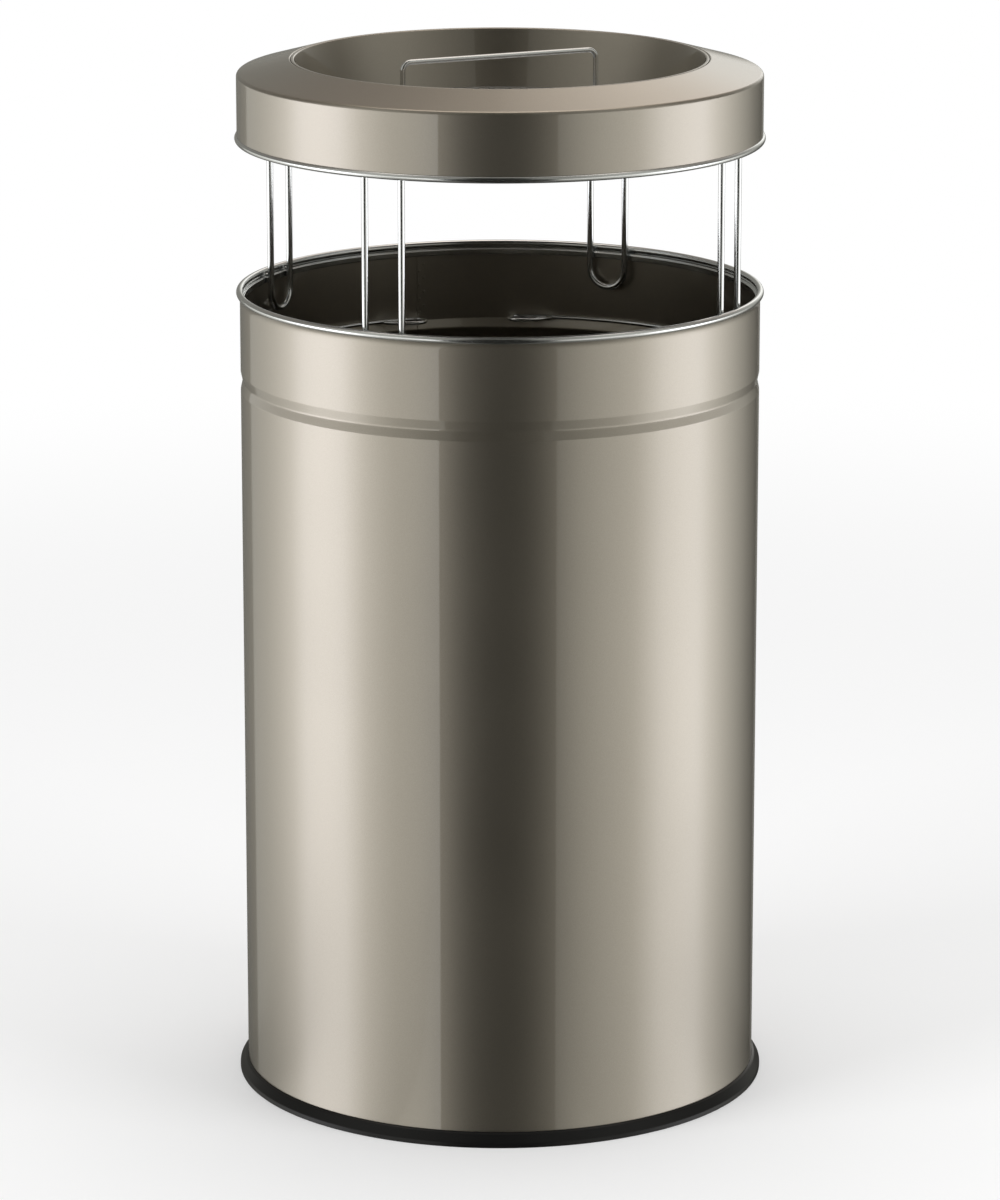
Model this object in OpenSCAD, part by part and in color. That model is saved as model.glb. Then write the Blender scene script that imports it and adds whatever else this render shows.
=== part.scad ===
// Standing ash bin: an open steel can, and a raised head on four wire legs
// that carries a sand bowl with a lift-out sieve.
// Units are millimetres. Z is up, the front faces -Y, and the origin is
// the middle of the foot ring's underside, on the floor.
// Angles are anticlockwise from +X, seen from above.

/* [Can] */
// Outer diameter of the can's wall
can_d = 394; // [350:1:440]
// Height of the rim's top above the floor
can_h = 617.5; // [480:0.5:760]
// Thickness of the painted steel sheet
sheet_t = 1; // [0.8:0.1:1.3]
// Distance from the rim's top down to the middle of the pressed bead
bead_drop = 70; // [60:0.5:120]
// Height of the pressed bead
bead_h = 14.7; // [10:0.1:20]
// Depth of the pressed bead
bead_depth = 1.4; // [0.8:0.1:2]
// Angle at which the wall's inside lap stands
seam_angle = 108.5; // [100:0.5:110]
// Width of the wall's inside lap
seam_w = 7.5; // [5:0.5:10]
// Thickness of the wall's inside lap
seam_t = 0.6; // [0.4:0.1:0.8]

/* [Foot ring and floor] */
// Height of the foot ring's outer lip
foot_h = 10.7; // [9:0.1:16]
// How far the foot ring stands out past the wall
foot_out = 6.3; // [4:0.1:10]
// Thickness of the foot ring under the wall's edge
foot_floor = 2.5; // [2:0.1:5]
// Height of the foot ring's straight side, below its slope
foot_side = 2.6; // [1.5:0.1:5]
// How far the foot ring's slope bows outwards
foot_bow = 0.6; // [0:0.1:1]
// Thickness of the foot ring's outer lip at its top
foot_lip_t = 0.9; // [0.7:0.1:1.5]
// Width of the foot ring's inner leg
foot_leg_w = 2.8; // [2:0.1:6]
// Height of the floor sheet's top above the ground, at its edge
floor_z = 14; // [12:0.5:25]
// How far the floor's middle is pressed up
floor_dish = 3; // [1:0.5:6]
// Width of the floor's low edge, outside its pressed-up middle
floor_edge_w = 43; // [20:1:80]
// Outer radius of the bend at the floor's edge
floor_bend_r = 3; // [2:0.5:6]

/* [Rolled rings] */
// Diameter of the rolled bead on the rim and on the head's lower edge
roll_d = 5.2; // [4.6:0.1:6]
// Thickness of a rolled ring's inner band
band_t = 0.8; // [0.5:0.1:1]
// How far the rim's bead stands out past the can's wall
rim_out = 2.7; // [2:0.1:3.2]
// Distance from the rim's top down to the ledge on its inner band
ledge_drop = 6.5; // [6:0.1:9]
// Height of the ledge on the rim's inner band
ledge_h = 4.6; // [3:0.1:8]

/* [Bag ring] */
// Diameter of the bag ring's wire
bag_wire_d = 3; // [2.4:0.1:3.6]
// Angle of the right-hand finger loop's bend
bag_right_angle = 85.8; // [75:0.1:88]
// Angle of the left-hand finger loop's bend
bag_left_angle = 111.4; // [111:0.1:125]
// Width of a finger loop, between wire centres
bag_loop_w = 16; // [15:0.5:20]
// Radius at which a loop's wire end bends back to the ring
bag_loop_r = 36; // [34:1:44]

/* [Head] */
// Height of the throw-in gap, from the rim's top to the head's lower edge
throw_gap = 112.5; // [80:0.5:150]
// How much the head's side is wider than the can's wall, across
head_over = 2; // [0:0.5:4]
// Height of the head's side, from its lower edge to the shoulder
head_side_h = 52; // [46:0.5:70]
// Radius of the shoulder between the side and the sloping top
shoulder_r = 3; // [2:0.5:8]
// Rise of the sloping top from the shoulder to the hole
top_rise = 10; // [6:0.5:20]
// Diameter of the hole in the sloping top
hole_d = 314.6; // [300:0.2:330]
// Length of the lip turned down round the hole
lip_h = 4; // [3:0.5:6]
// How far the bead on the head's lower edge stands out past its side
head_roll_out = 1.8; // [1.5:0.1:3]
// Height of the inner band inside the head's lower edge
head_band_h = 11; // [8:0.5:14]
// Thickness of the carrier plate inside the head
plate_t = 1.5; // [1.2:0.1:2]
// Height of the carrier plate's top above the head's lower edge
plate_lift = 15.7; // [15.5:0.1:20]

/* [Legs] */
// Diameter of the legs' wire
leg_wire_d = 5; // [4:0.1:5.6]
// Distance between a leg's two uprights
leg_span = 30; // [24:1:40]
// How far the legs reach below the rim's top
leg_reach = 35.5; // [30:0.5:38]
// Angle of the front right leg; the others stand at right angles to it
leg_angle = -26.5; // [-45:0.5:-20]
// Clearance between a leg's wire and the rim's bead
leg_clear = 1.7; // [1.6:0.1:2.5]
// Diameter of the studs that carry the head on the rim's ledge
stud_d = 3; // [2.5:0.1:3.5]
// Height of the weld round the top of each upright
weld_h = 2.5; // [1.5:0.1:4]
// How far the weld spreads over the plate, past the wire
weld_w = 1.2; // [0.8:0.1:1.5]

/* [Bowl] */
// Inner diameter of the bowl's wall at the sieve's ledge
bowl_ledge_d = 286; // [280:1:290]
// Width of the ledge that the sieve lies on
bowl_ledge_w = 6.5; // [6:0.5:8]
// Width of the bowl's rounded rim
bowl_rim_w = 2.4; // [2:0.1:4]
// Depth of the sand well below the ledge
well_depth = 22; // [15:0.5:26]
// Inner radius of the bend at the foot of the well's wall
well_bend_r = 4; // [3:0.5:10]

/* [Sieve] */
// Thickness of the sieve plate
sieve_t = 1.2; // [0.8:0.1:2]
// Clearance round the sieve plate
sieve_clear = 1.5; // [1:0.1:2]
// Diameter of the sieve's holes
sieve_hole_d = 6; // [4:0.5:7]
// Distance between the sieve's rings of holes
sieve_pitch = 12; // [11:0.5:20]
// Distance from the edge of the last hole to the well's wall
sieve_margin = 1; // [0.5:0.1:6]
// Diameter of the handle's wire
handle_wire_d = 4; // [3:0.1:5]
// Distance between the handle's two uprights
handle_span = 160; // [120:1:200]
// How far the handle's bar stands above the hole's edge
handle_proud = 3; // [1:0.5:12]
// Radius of the handle's bends, to the middle of the wire
handle_bend_r = 6.5; // [5:0.5:9]
// Length of the straight foot under each of the handle's uprights
handle_foot = 10; // [6:1:20]
// Angle of the handle's bar
handle_angle = 25.2; // [0:0.1:90]
// Diameter of the weld under each of the handle's feet
handle_weld_d = 6.4; // [5.5:0.1:8]

/* [Fits] */
// Clearance between pieces that are pressed or crimped together
fit = 0.1; // [0.05:0.01:0.15]
// Clearance between a lift-off piece and its seat
seat = 0.3; // [0.2:0.05:0.4]
// Clearance between the legs and the ledge inside the rim
ledge_clear = 0.5; // [0.3:0.1:0.7]
// Clearance between the bowl's well and the carrier plate's hole
plate_clear = 0.7; // [0.5:0.1:1.5]
// Gap between the end of a finger loop's wire and the ring
bag_end_gap = 2.4; // [1:0.1:4]
// Smallest rounding on an edge of sheet
edge_r = 0.4; // [0.2:0.1:0.4]

/* [Hidden] */
$fn = 128;
wire_fn = 32;
arc_steps = 6;
bead_steps = 12;
loop_steps = 8;
hoop_steps = 90;
wire_sides = 8;

paint = [0.60, 0.57, 0.52];
bright = [0.86, 0.87, 0.88];
zinc = [0.62, 0.64, 0.65];
black = [0.09, 0.09, 0.09];

// The can's wall, from the foot ring's floor up into the rim's bead
can_r = can_d / 2;
can_in_r = can_r - sheet_t;
bead_z = can_h - bead_drop;
rim_z = can_h - roll_d / 2;
rim_bead_r = can_r + rim_out - roll_d / 2;
ridge_top_z = bead_z + bead_h / 2;

// The legs stand just inside the rim's bead
leg_r = rim_bead_r - roll_d / 2 - leg_clear - leg_wire_d / 2;
leg_half = leg_span / 2;
leg_plane = sqrt(leg_r * leg_r - leg_half * leg_half);
leg_low_z = can_h - leg_reach;
leg_bend_z = leg_low_z + leg_wire_d / 2 + leg_half;
upright_turn = asin(leg_half / leg_r);

// The ledge inside the rim, which the head's studs stand on
ledge_z = can_h - ledge_drop;
band_low_z = ledge_z - ledge_h;
band_in_r = can_in_r - fit - band_t;
ledge_in_r = leg_r + leg_wire_d / 2 + ledge_clear;
stud_z = ledge_z + seat + stud_d / 2;
stud_tip_r = rim_bead_r - roll_d / 2 - seat;

// The head, counted up from its lower edge
head_r = can_r + head_over / 2;
head_in_r = head_r - sheet_t;
head_z = can_h + throw_gap;
head_roll_z = head_z + roll_d / 2;
head_band_top = head_z + head_band_h;
plate_z = head_z + plate_lift;
shoulder_z = head_z + head_side_h;
crest_z = shoulder_z + top_rise;
hole_r = hole_d / 2;
top_slope = atan2(top_rise, head_r - shoulder_r - hole_r);

// The bowl rests on the carrier plate, with its rim level with the hole's edge
ledge_floor_z = plate_z + seat + sheet_t;
bowl_ledge_r = bowl_ledge_d / 2;
well_r = bowl_ledge_r - bowl_ledge_w;
well_floor_z = ledge_floor_z - well_depth;
bowl_rim_r = hole_r - seat;
bowl_top_r = bowl_rim_r - bowl_rim_w;
plate_in_r = well_r + sheet_t + plate_clear;

// The sieve rests on the bowl's ledge
sieve_low_z = ledge_floor_z + seat;
sieve_z = sieve_low_z + sieve_t;
sieve_r = bowl_ledge_r - sieve_clear;
sieve_rings = floor((well_r - sieve_margin - sieve_hole_d / 2) / sieve_pitch);
handle_bar_z = crest_z + handle_proud - handle_wire_d / 2;
handle_foot_z = sieve_z + handle_wire_d / 2;

// The bag ring rests on the ridge that the bead makes inside the can
bag_r = can_in_r - seat - bag_wire_d / 2;
bag_z = ridge_top_z + seat + bag_wire_d / 2;
bag_loop_turn = acos((bag_loop_r - bag_loop_w + bag_wire_d + bag_end_gap) / bag_loop_r);

// Points on an arc round centre c, from angle a to angle b
function arc(c, r, a, b, n = arc_steps) =
    [for (i = [0:n]) let (t = a + (b - a) * i / n) [c[0] + r * cos(t), c[1] + r * sin(t)]];

// Points from p to q on a line that bows out to its right by sag
function bowed(p, q, sag) = let (d = q - p, right = [d[1], -d[0]] / norm(d))
    [for (i = [0:arc_steps]) let (t = i / arc_steps) p + t * d + 4 * sag * t * (1 - t) * right];

// Points up one face of the can's wall, which lies at radius r away from the bead
function wall_side(r, low, high) = concat(
    [[r, low]],
    [for (i = [0:bead_steps])
        [r - bead_depth * (1 - cos(360 * i / bead_steps)) / 2, bead_z - bead_h / 2 + bead_h * i / bead_steps]],
    [[r, high]]);

function reversed(p) = [for (i = [len(p) - 1:-1:0]) p[i]];

// A sheet between two faces of the can's wall, turned through an angle
module wall_sheet(outer_r, inner_r, low, high, turn = 360) {
    rotate_extrude(angle = turn)
        polygon(concat(wall_side(outer_r, low, high), reversed(wall_side(inner_r, low, high))));
}

// Section of a rolled ring: a bead that grips the sheet's edge and a band behind the sheet.
// The bead's middle is at height 0 and the sheet leaves downwards.
module roll_section(wall_r, out, band_drop) {
    difference() {
        union() {
            translate([wall_r + out - roll_d / 2, 0]) circle(d = roll_d, $fn = wire_fn);
            translate([wall_r - sheet_t - fit - band_t, -band_drop]) square([band_t, band_drop]);
        }
        translate([wall_r - sheet_t - fit, -roll_d]) square([sheet_t + 2 * fit, roll_d]);
    }
}

// A straight wire from the origin up to height h
module wire(d, h) {
    cylinder(d = d, h = h, $fn = wire_fn);
}

// A bend in the XY plane round the origin, from angle 0
module bend(d, r, turn) {
    rotate_extrude(angle = turn) translate([r, 0]) circle(d = d, $fn = wire_fn);
}

// Angles of the four legs' eight uprights
function leg_turns() = [for (i = [0:3]) leg_angle + 90 * i];
function upright_angles() = [for (a = leg_turns(), s = [-1, 1]) a + s * upright_turn];

module can_shell() {
    color(paint) wall_sheet(can_r, can_in_r, foot_floor, rim_z - fit);
}

module seam_lap() {
    turn = 2 * asin(seam_w / 2 / can_in_r);
    color(paint) rotate([0, 0, seam_angle - turn / 2])
        wall_sheet(can_in_r - fit, can_in_r - fit - seam_t, floor_z + fit, band_low_z - fit, turn);
}

module can_floor() {
    r = can_in_r - fit;
    step_r = r - floor_edge_w;
    corner = [r - floor_bend_r, floor_z - floor_bend_r];
    color(zinc) rotate_extrude() polygon(concat(
        [[0, floor_z + floor_dish], [step_r - floor_dish, floor_z + floor_dish], [step_r, floor_z]],
        arc(corner, floor_bend_r, 90, 0),
        [[r, foot_floor], [r - sheet_t, foot_floor]],
        arc(corner, floor_bend_r - sheet_t, 0, 90),
        [[step_r, floor_z - sheet_t], [step_r - floor_dish, floor_z + floor_dish - sheet_t],
         [0, floor_z + floor_dish - sheet_t]]));
}

module foot_ring() {
    out_r = can_r + foot_out;
    lip_r = can_r + fit;
    leg_out = can_in_r - 2 * fit - sheet_t;
    color(black) rotate_extrude() polygon(concat(
        [[leg_out - foot_leg_w, 0], [out_r - edge_r, 0], [out_r, edge_r]],
        bowed([out_r, foot_side], [lip_r + foot_lip_t, foot_h], foot_bow),
        [[lip_r, foot_h], [lip_r, foot_floor], [leg_out, foot_floor]],
        [[leg_out, foot_h - edge_r], [leg_out - edge_r, foot_h], [leg_out - foot_leg_w, foot_h]]));
}

module rim_ring() {
    color(bright) rotate_extrude() {
        translate([0, rim_z]) roll_section(can_r, rim_out, rim_z - band_low_z);
        polygon([[band_in_r + band_t / 2, ledge_z], [ledge_in_r + edge_r, ledge_z], [ledge_in_r, ledge_z - edge_r],
                 [ledge_in_r, band_low_z + edge_r], [ledge_in_r + edge_r, band_low_z],
                 [band_in_r + band_t / 2, band_low_z]]);
    }
}

// The bag ring's wire is followed by stations, each a place on its middle line and a heading.
// A finger loop is a hairpin into the can whose end turns back to the ring.
function loop_stations() = concat(
    [for (i = [1:loop_steps]) let (a = 180 * i / loop_steps)
        [bag_r - bag_loop_w / 2 + bag_loop_w / 2 * cos(a), bag_loop_w / 2 * sin(a), a + 90]],
    [for (i = [1:arc_steps]) let (a = 180 + bag_loop_turn * i / arc_steps)
        [bag_r - bag_loop_w + bag_loop_r + bag_loop_r * cos(a), bag_loop_r * sin(a), a + 90]]);

function turned(s, a) = [s[0] * cos(a) - s[1] * sin(a), s[0] * sin(a) + s[1] * cos(a), s[2] + a];

function bag_stations() = let (span = 360 - bag_left_angle + bag_right_angle) concat(
    [for (s = reversed(loop_stations())) turned([s[0], -s[1], 180 - s[2]], bag_left_angle)],
    [for (i = [0:hoop_steps]) turned([bag_r, 0, 90], bag_left_angle + span * i / hoop_steps)],
    [for (s = loop_stations()) turned(s, bag_right_angle)]);

// A round wire along stations in one level plane
module level_wire(stations, d) {
    last = len(stations) - 1;
    polyhedron(
        points = [for (s = stations, k = [0:wire_sides - 1]) let (t = 360 * k / wire_sides)
            [s[0] + d / 2 * cos(t) * sin(s[2]), s[1] - d / 2 * cos(t) * cos(s[2]), d / 2 * sin(t)]],
        faces = concat(
            [[for (k = [wire_sides - 1:-1:0]) k]],
            [for (i = [0:last - 1], k = [0:wire_sides - 1]) let (n = (k + 1) % wire_sides)
                [for (c = [[0, k], [0, n], [1, n], [1, k]]) (i + c[0]) * wire_sides + c[1]]],
            [[for (k = [0:wire_sides - 1]) last * wire_sides + k]]));
}

module bag_ring() {
    color(bright) translate([0, 0, bag_z]) level_wire(bag_stations(), bag_wire_d);
}

module head_cover() {
    corner = [head_r - shoulder_r, shoulder_z - shoulder_r];
    in_drop = sheet_t / cos(top_slope);
    lip_r = hole_r + sheet_t;
    low = head_roll_z + fit;
    color(paint) rotate_extrude() polygon(concat(
        [[head_r, low]],
        arc(corner, shoulder_r, 0, 90 - top_slope),
        arc([lip_r, crest_z - sheet_t], sheet_t, 90 - top_slope, 180),
        [[hole_r, crest_z - lip_h], [lip_r, crest_z - lip_h], [lip_r, crest_z - in_drop - edge_r]],
        arc(corner, shoulder_r - sheet_t, 90 - top_slope, 0),
        [[head_in_r, low]]));
}

module head_ring() {
    color(bright) rotate_extrude() translate([0, head_roll_z]) mirror([0, 1])
        roll_section(head_r, head_roll_out, head_band_top - head_roll_z);
}

module carrier_plate() {
    out_r = head_in_r - fit;
    color(zinc) rotate_extrude() polygon([
        [plate_in_r, plate_z], [out_r - edge_r, plate_z], [out_r, plate_z - edge_r], [out_r, head_band_top],
        [out_r - plate_t, head_band_top], [out_r - plate_t, plate_z - plate_t], [plate_in_r, plate_z - plate_t]]);
}

// A wire bent to a U that hangs from the carrier plate, at angle a
module leg(a) {
    rise = plate_z - plate_t - leg_bend_z;
    color(bright) rotate([0, 0, a]) translate([leg_plane, 0, leg_bend_z]) {
        for (s = [-1, 1]) translate([0, s * leg_half, 0]) wire(leg_wire_d, rise);
        rotate([0, 90, 0]) rotate([0, 0, -90]) bend(leg_wire_d, leg_half, 180);
    }
}

module leg_front_left() { leg(leg_angle - 90); }
module leg_front_right() { leg(leg_angle); }
module leg_back_right() { leg(leg_angle + 90); }
module leg_back_left() { leg(leg_angle + 180); }

// Short studs on the outer side of the uprights
module rest_studs() {
    color(bright) for (a = upright_angles()) rotate([0, 0, a]) difference() {
        translate([leg_r, 0, stud_z]) rotate([0, 90, 0]) wire(stud_d, stud_tip_r - leg_r);
        translate([leg_r, 0, stud_z - stud_d]) wire(leg_wire_d, 2 * stud_d);
    }
}

// A weld round each upright, where it meets the carrier plate
module leg_welds() {
    color(zinc) for (a = upright_angles()) rotate([0, 0, a])
        translate([leg_r, 0, plate_z - plate_t - weld_h]) difference() {
            cylinder(r1 = leg_wire_d / 2 + edge_r, r2 = leg_wire_d / 2 + weld_w, h = weld_h, $fn = wire_fn);
            translate([0, 0, -weld_h]) wire(leg_wire_d, 3 * weld_h);
        }
}

module sand_bowl() {
    rim_low = crest_z - 2 * sheet_t;
    low_ledge = ledge_floor_z - sheet_t;
    foot = [well_r - well_bend_r, well_floor_z + well_bend_r];
    wall_slope = (bowl_top_r - bowl_ledge_r) / (crest_z - sheet_t - ledge_floor_z);
    color(paint) rotate_extrude() polygon(concat(
        [[0, well_floor_z]],
        arc(foot, well_bend_r, -90, 0),
        [[well_r, ledge_floor_z], [bowl_ledge_r, ledge_floor_z]],
        arc([bowl_top_r + sheet_t, crest_z - sheet_t], sheet_t, 180, 90),
        arc([bowl_rim_r - edge_r, crest_z - edge_r], edge_r, 90, 0),
        [[bowl_rim_r, rim_low], [bowl_top_r + sheet_t, rim_low - edge_r]],
        [[bowl_ledge_r + sheet_t, ledge_floor_z + wall_slope * sheet_t], [bowl_ledge_r + sheet_t, low_ledge]],
        [[well_r + sheet_t, low_ledge]],
        arc(foot, well_bend_r + sheet_t, 0, -90),
        [[0, well_floor_z - sheet_t]]));
}

module sieve_plate() {
    color(zinc) translate([0, 0, sieve_low_z]) linear_extrude(sieve_t) difference() {
        circle(r = sieve_r);
        for (i = [1:sieve_rings])
            for (j = [0:6 * i - 1])
                rotate(60 / i * j) translate([i * sieve_pitch, 0]) circle(d = sieve_hole_d, $fn = wire_fn);
    }
}

// A wire bow that stands on the sieve with its two feet turned inwards
module sieve_handle() {
    half = handle_span / 2;
    corner_x = half - handle_bend_r;
    low_z = handle_foot_z + handle_bend_r;
    high_z = handle_bar_z - handle_bend_r;
    color(bright) rotate([0, 0, handle_angle]) {
        translate([-corner_x, 0, handle_bar_z]) rotate([0, 90, 0]) wire(handle_wire_d, 2 * corner_x);
        for (s = [0, 1]) mirror([s, 0, 0]) {
            translate([corner_x, 0, high_z]) rotate([90, 0, 0]) bend(handle_wire_d, handle_bend_r, 90);
            translate([half, 0, low_z]) wire(handle_wire_d, high_z - low_z);
            translate([corner_x, 0, low_z]) rotate([90, 0, 0]) rotate([0, 0, -90])
                bend(handle_wire_d, handle_bend_r, 90);
            translate([corner_x - handle_foot, 0, handle_foot_z]) rotate([0, 90, 0]) wire(handle_wire_d, handle_foot);
        }
    }
}

// Two small welds on each side of the handle's feet
module handle_welds() {
    wire_r = handle_wire_d / 2;
    foot_x = handle_span / 2 - handle_bend_r - handle_foot / 2;
    color(zinc) rotate([0, 0, handle_angle]) for (s = [0, 1]) mirror([s, 0, 0]) difference() {
        translate([foot_x, 0, sieve_z]) cylinder(d1 = handle_weld_d, r2 = wire_r, h = wire_r, $fn = wire_fn);
        translate([foot_x - handle_foot, 0, handle_foot_z]) rotate([0, 90, 0])
            wire(handle_wire_d, 2 * handle_foot);
    }
}

can_shell();
seam_lap();
can_floor();
foot_ring();
rim_ring();
bag_ring();
head_cover();
head_ring();
carrier_plate();
leg_front_left();
leg_front_right();
leg_back_right();
leg_back_left();
rest_studs();
leg_welds();
sand_bowl();
sieve_plate();
sieve_handle();
handle_welds();
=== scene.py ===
"""A standing ash bin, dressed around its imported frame.

Every length is in metres and every place is in the frame's own axes: the bin stands on z = 0,
its front faces -Y, and azimuths run anticlockwise from +X, seen from above, unless a name
says otherwise.
"""

from __future__ import annotations

import logging
import math
from collections.abc import Callable, Iterable, Sequence
from dataclasses import dataclass, field
from enum import Enum
from typing import ClassVar, NamedTuple

import bmesh
import bpy
from mathutils import Matrix, Vector

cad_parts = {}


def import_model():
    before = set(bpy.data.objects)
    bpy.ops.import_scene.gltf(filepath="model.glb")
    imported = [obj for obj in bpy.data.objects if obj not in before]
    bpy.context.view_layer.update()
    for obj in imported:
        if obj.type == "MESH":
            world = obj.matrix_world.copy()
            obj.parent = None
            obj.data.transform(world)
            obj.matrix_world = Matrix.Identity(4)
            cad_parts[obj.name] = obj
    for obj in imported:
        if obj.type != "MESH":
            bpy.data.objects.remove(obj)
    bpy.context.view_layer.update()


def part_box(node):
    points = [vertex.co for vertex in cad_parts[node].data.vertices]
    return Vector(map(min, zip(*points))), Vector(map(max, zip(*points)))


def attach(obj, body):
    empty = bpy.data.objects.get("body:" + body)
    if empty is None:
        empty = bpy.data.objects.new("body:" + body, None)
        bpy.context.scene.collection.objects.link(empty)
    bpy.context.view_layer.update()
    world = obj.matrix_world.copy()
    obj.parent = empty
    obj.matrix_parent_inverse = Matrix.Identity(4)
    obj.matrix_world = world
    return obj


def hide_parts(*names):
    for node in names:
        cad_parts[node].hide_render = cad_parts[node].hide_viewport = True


LOG = logging.getLogger("ash_bin")

FULL_TURN_STEPS = 240
ARC_STEP = math.radians(9.0)
GUARD = 0.0004
MERGE_DISTANCE = 1e-6
SMOOTH_ANGLE = math.radians(32.0)
UP = Vector((0.0, 0.0, 1.0))
OUTWARD = Vector((1.0, 0.0, 0.0))
ORIGIN = Vector((0.0, 0.0, 0.0))

Colour = tuple[float, float, float]
SectionPoint = tuple[float, float]
Piece = bpy.types.Object
Material = bpy.types.Material
Node = bpy.types.Node
NodeTree = bpy.types.NodeTree
Socket = bpy.types.NodeSocket


class Body(Enum):
    """The frame's bodies."""

    CAN = "can"
    BAG_RING = "bag_ring"
    HEAD = "head"
    BOWL = "bowl"
    SIEVE = "sieve"


class Slot(Enum):
    """The record's material slots."""

    PAINT = "paint"
    RING = "bright_ring"
    WIRE = "wire"
    SHEET = "galvanised"
    WELD = "weld"
    PLASTIC = "black_plastic"


# Bench work: what every piece goes through


class NodeBox(NamedTuple):
    """The lowest and highest corners of one node of the frame."""

    low: Vector
    high: Vector

    @classmethod
    def of(cls, node: str) -> NodeBox:
        """Read a node's box.

        Args:
            node: The node's name in the frame.

        Returns:
            Its box at rest.
        """
        low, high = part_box(node)
        return cls(Vector(low), Vector(high))

    @property
    def radius(self) -> float:
        """Outer radius of a node that is turned round the bin's axis."""
        return max(self.high.x, self.high.y)

    @property
    def mid_height(self) -> float:
        """Height of the box's middle."""
        return (self.low.z + self.high.z) / 2.0


def clear_selection() -> None:
    """Go to object mode with nothing selected."""
    if bpy.context.mode != "OBJECT":
        bpy.ops.object.mode_set(mode="OBJECT")
    bpy.ops.object.select_all(action="DESELECT")


def take_up(piece: Piece) -> None:
    """Select one piece alone and make it the active one.

    Args:
        piece: The piece to work on.
    """
    clear_selection()
    piece.select_set(True)
    bpy.context.view_layer.objects.active = piece


def edit_all(piece: Piece) -> None:
    """Open a piece in edit mode with all of it selected.

    Args:
        piece: The piece to work on.
    """
    take_up(piece)
    bpy.ops.object.mode_set(mode="EDIT")
    bpy.ops.mesh.select_mode(type="VERT")
    bpy.ops.mesh.select_all(action="SELECT")


def select_points(piece: Piece, wanted: Callable[[Vector], bool]) -> None:
    """Select the vertices whose place passes a test, and the edges and faces between them.

    Args:
        piece: The piece that is open in edit mode.
        wanted: The test of a vertex's place.
    """
    bpy.ops.mesh.select_all(action="DESELECT")
    mesh = bmesh.from_edit_mesh(piece.data)
    for vertex in mesh.verts:
        vertex.select = wanted(vertex.co)
    mesh.select_flush(True)
    bmesh.update_edit_mesh(piece.data)


def new_piece(name: str) -> Piece:
    """Name the primitive that was just added and put its place into its mesh.

    Args:
        name: The piece's name.

    Returns:
        The piece, open in edit mode with all of it selected.
    """
    piece = bpy.context.active_object
    piece.name = name
    piece.data.name = name
    bpy.ops.object.transform_apply(location=True, rotation=True, scale=True)
    edit_all(piece)
    return piece


def push_on(step: Vector) -> None:
    """Extrude what is selected.

    Args:
        step: How far and in which direction.
    """
    bpy.ops.mesh.extrude_region_move(TRANSFORM_OT_translate={"value": step})


def spin_on(angle: float, steps: int, centre: Vector = ORIGIN, axis: Vector = UP,
            copies: bool = False) -> None:
    """Spin what is selected, anticlockwise about the axis for a positive angle.

    The operator itself takes a positive angle clockwise.

    Args:
        angle: How far to spin, in radians.
        steps: How many steps to take.
        centre: A place on the axis.
        axis: The axis.
        copies: Whether to leave a copy at each step instead of a swept surface.
    """
    bpy.ops.mesh.spin(steps=steps, angle=-angle, center=centre, axis=axis, dupli=copies)


def close_shell() -> None:
    """Merge the doubles of the open piece and point its faces outwards."""
    bpy.ops.mesh.select_all(action="SELECT")
    bpy.ops.mesh.remove_doubles(threshold=MERGE_DISTANCE)
    bpy.ops.mesh.normals_make_consistent(inside=False)
    bpy.ops.object.mode_set(mode="OBJECT")


def set_in_place(piece: Piece, azimuth: float = 0.0, shift: Vector = ORIGIN) -> None:
    """Turn a piece round the bin's axis, shift it, and put both into its mesh.

    Args:
        piece: The piece to move.
        azimuth: The turn, in degrees.
        shift: The shift, after the turn.
    """
    take_up(piece)
    piece.rotation_euler.z = math.radians(azimuth)
    piece.location = shift
    bpy.ops.object.transform_apply(location=True, rotation=True, scale=True)


def copy_of(piece: Piece, name: str, azimuth: float = 0.0, shift: Vector = ORIGIN) -> Piece:
    """Copy a piece with its own mesh and set the copy in its place.

    Args:
        piece: The piece to copy.
        name: The copy's name.
        azimuth: The copy's turn round the bin's axis, in degrees.
        shift: The copy's shift, after the turn.

    Returns:
        The copy, with its place in its mesh.
    """
    take_up(piece)
    bpy.ops.object.duplicate(linked=False)
    copy = bpy.context.active_object
    copy.name = name
    copy.data.name = name
    set_in_place(copy, azimuth, shift)
    return copy


def join_all(pieces: Sequence[Piece], name: str) -> Piece:
    """Join pieces into one.

    Args:
        pieces: The pieces, of which the first gives the object.
        name: The joined piece's name.

    Returns:
        The joined piece.
    """
    clear_selection()
    for piece in pieces:
        piece.select_set(True)
    bpy.context.view_layer.objects.active = pieces[0]
    bpy.ops.object.join()
    pieces[0].name = name
    return pieces[0]


# Turned work: a section drawn beside the axis and spun round it


class Corner(NamedTuple):
    """A corner of a turned section, with the radius that rounds it off."""

    r: float
    z: float
    rounding: float = 0.0


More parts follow.
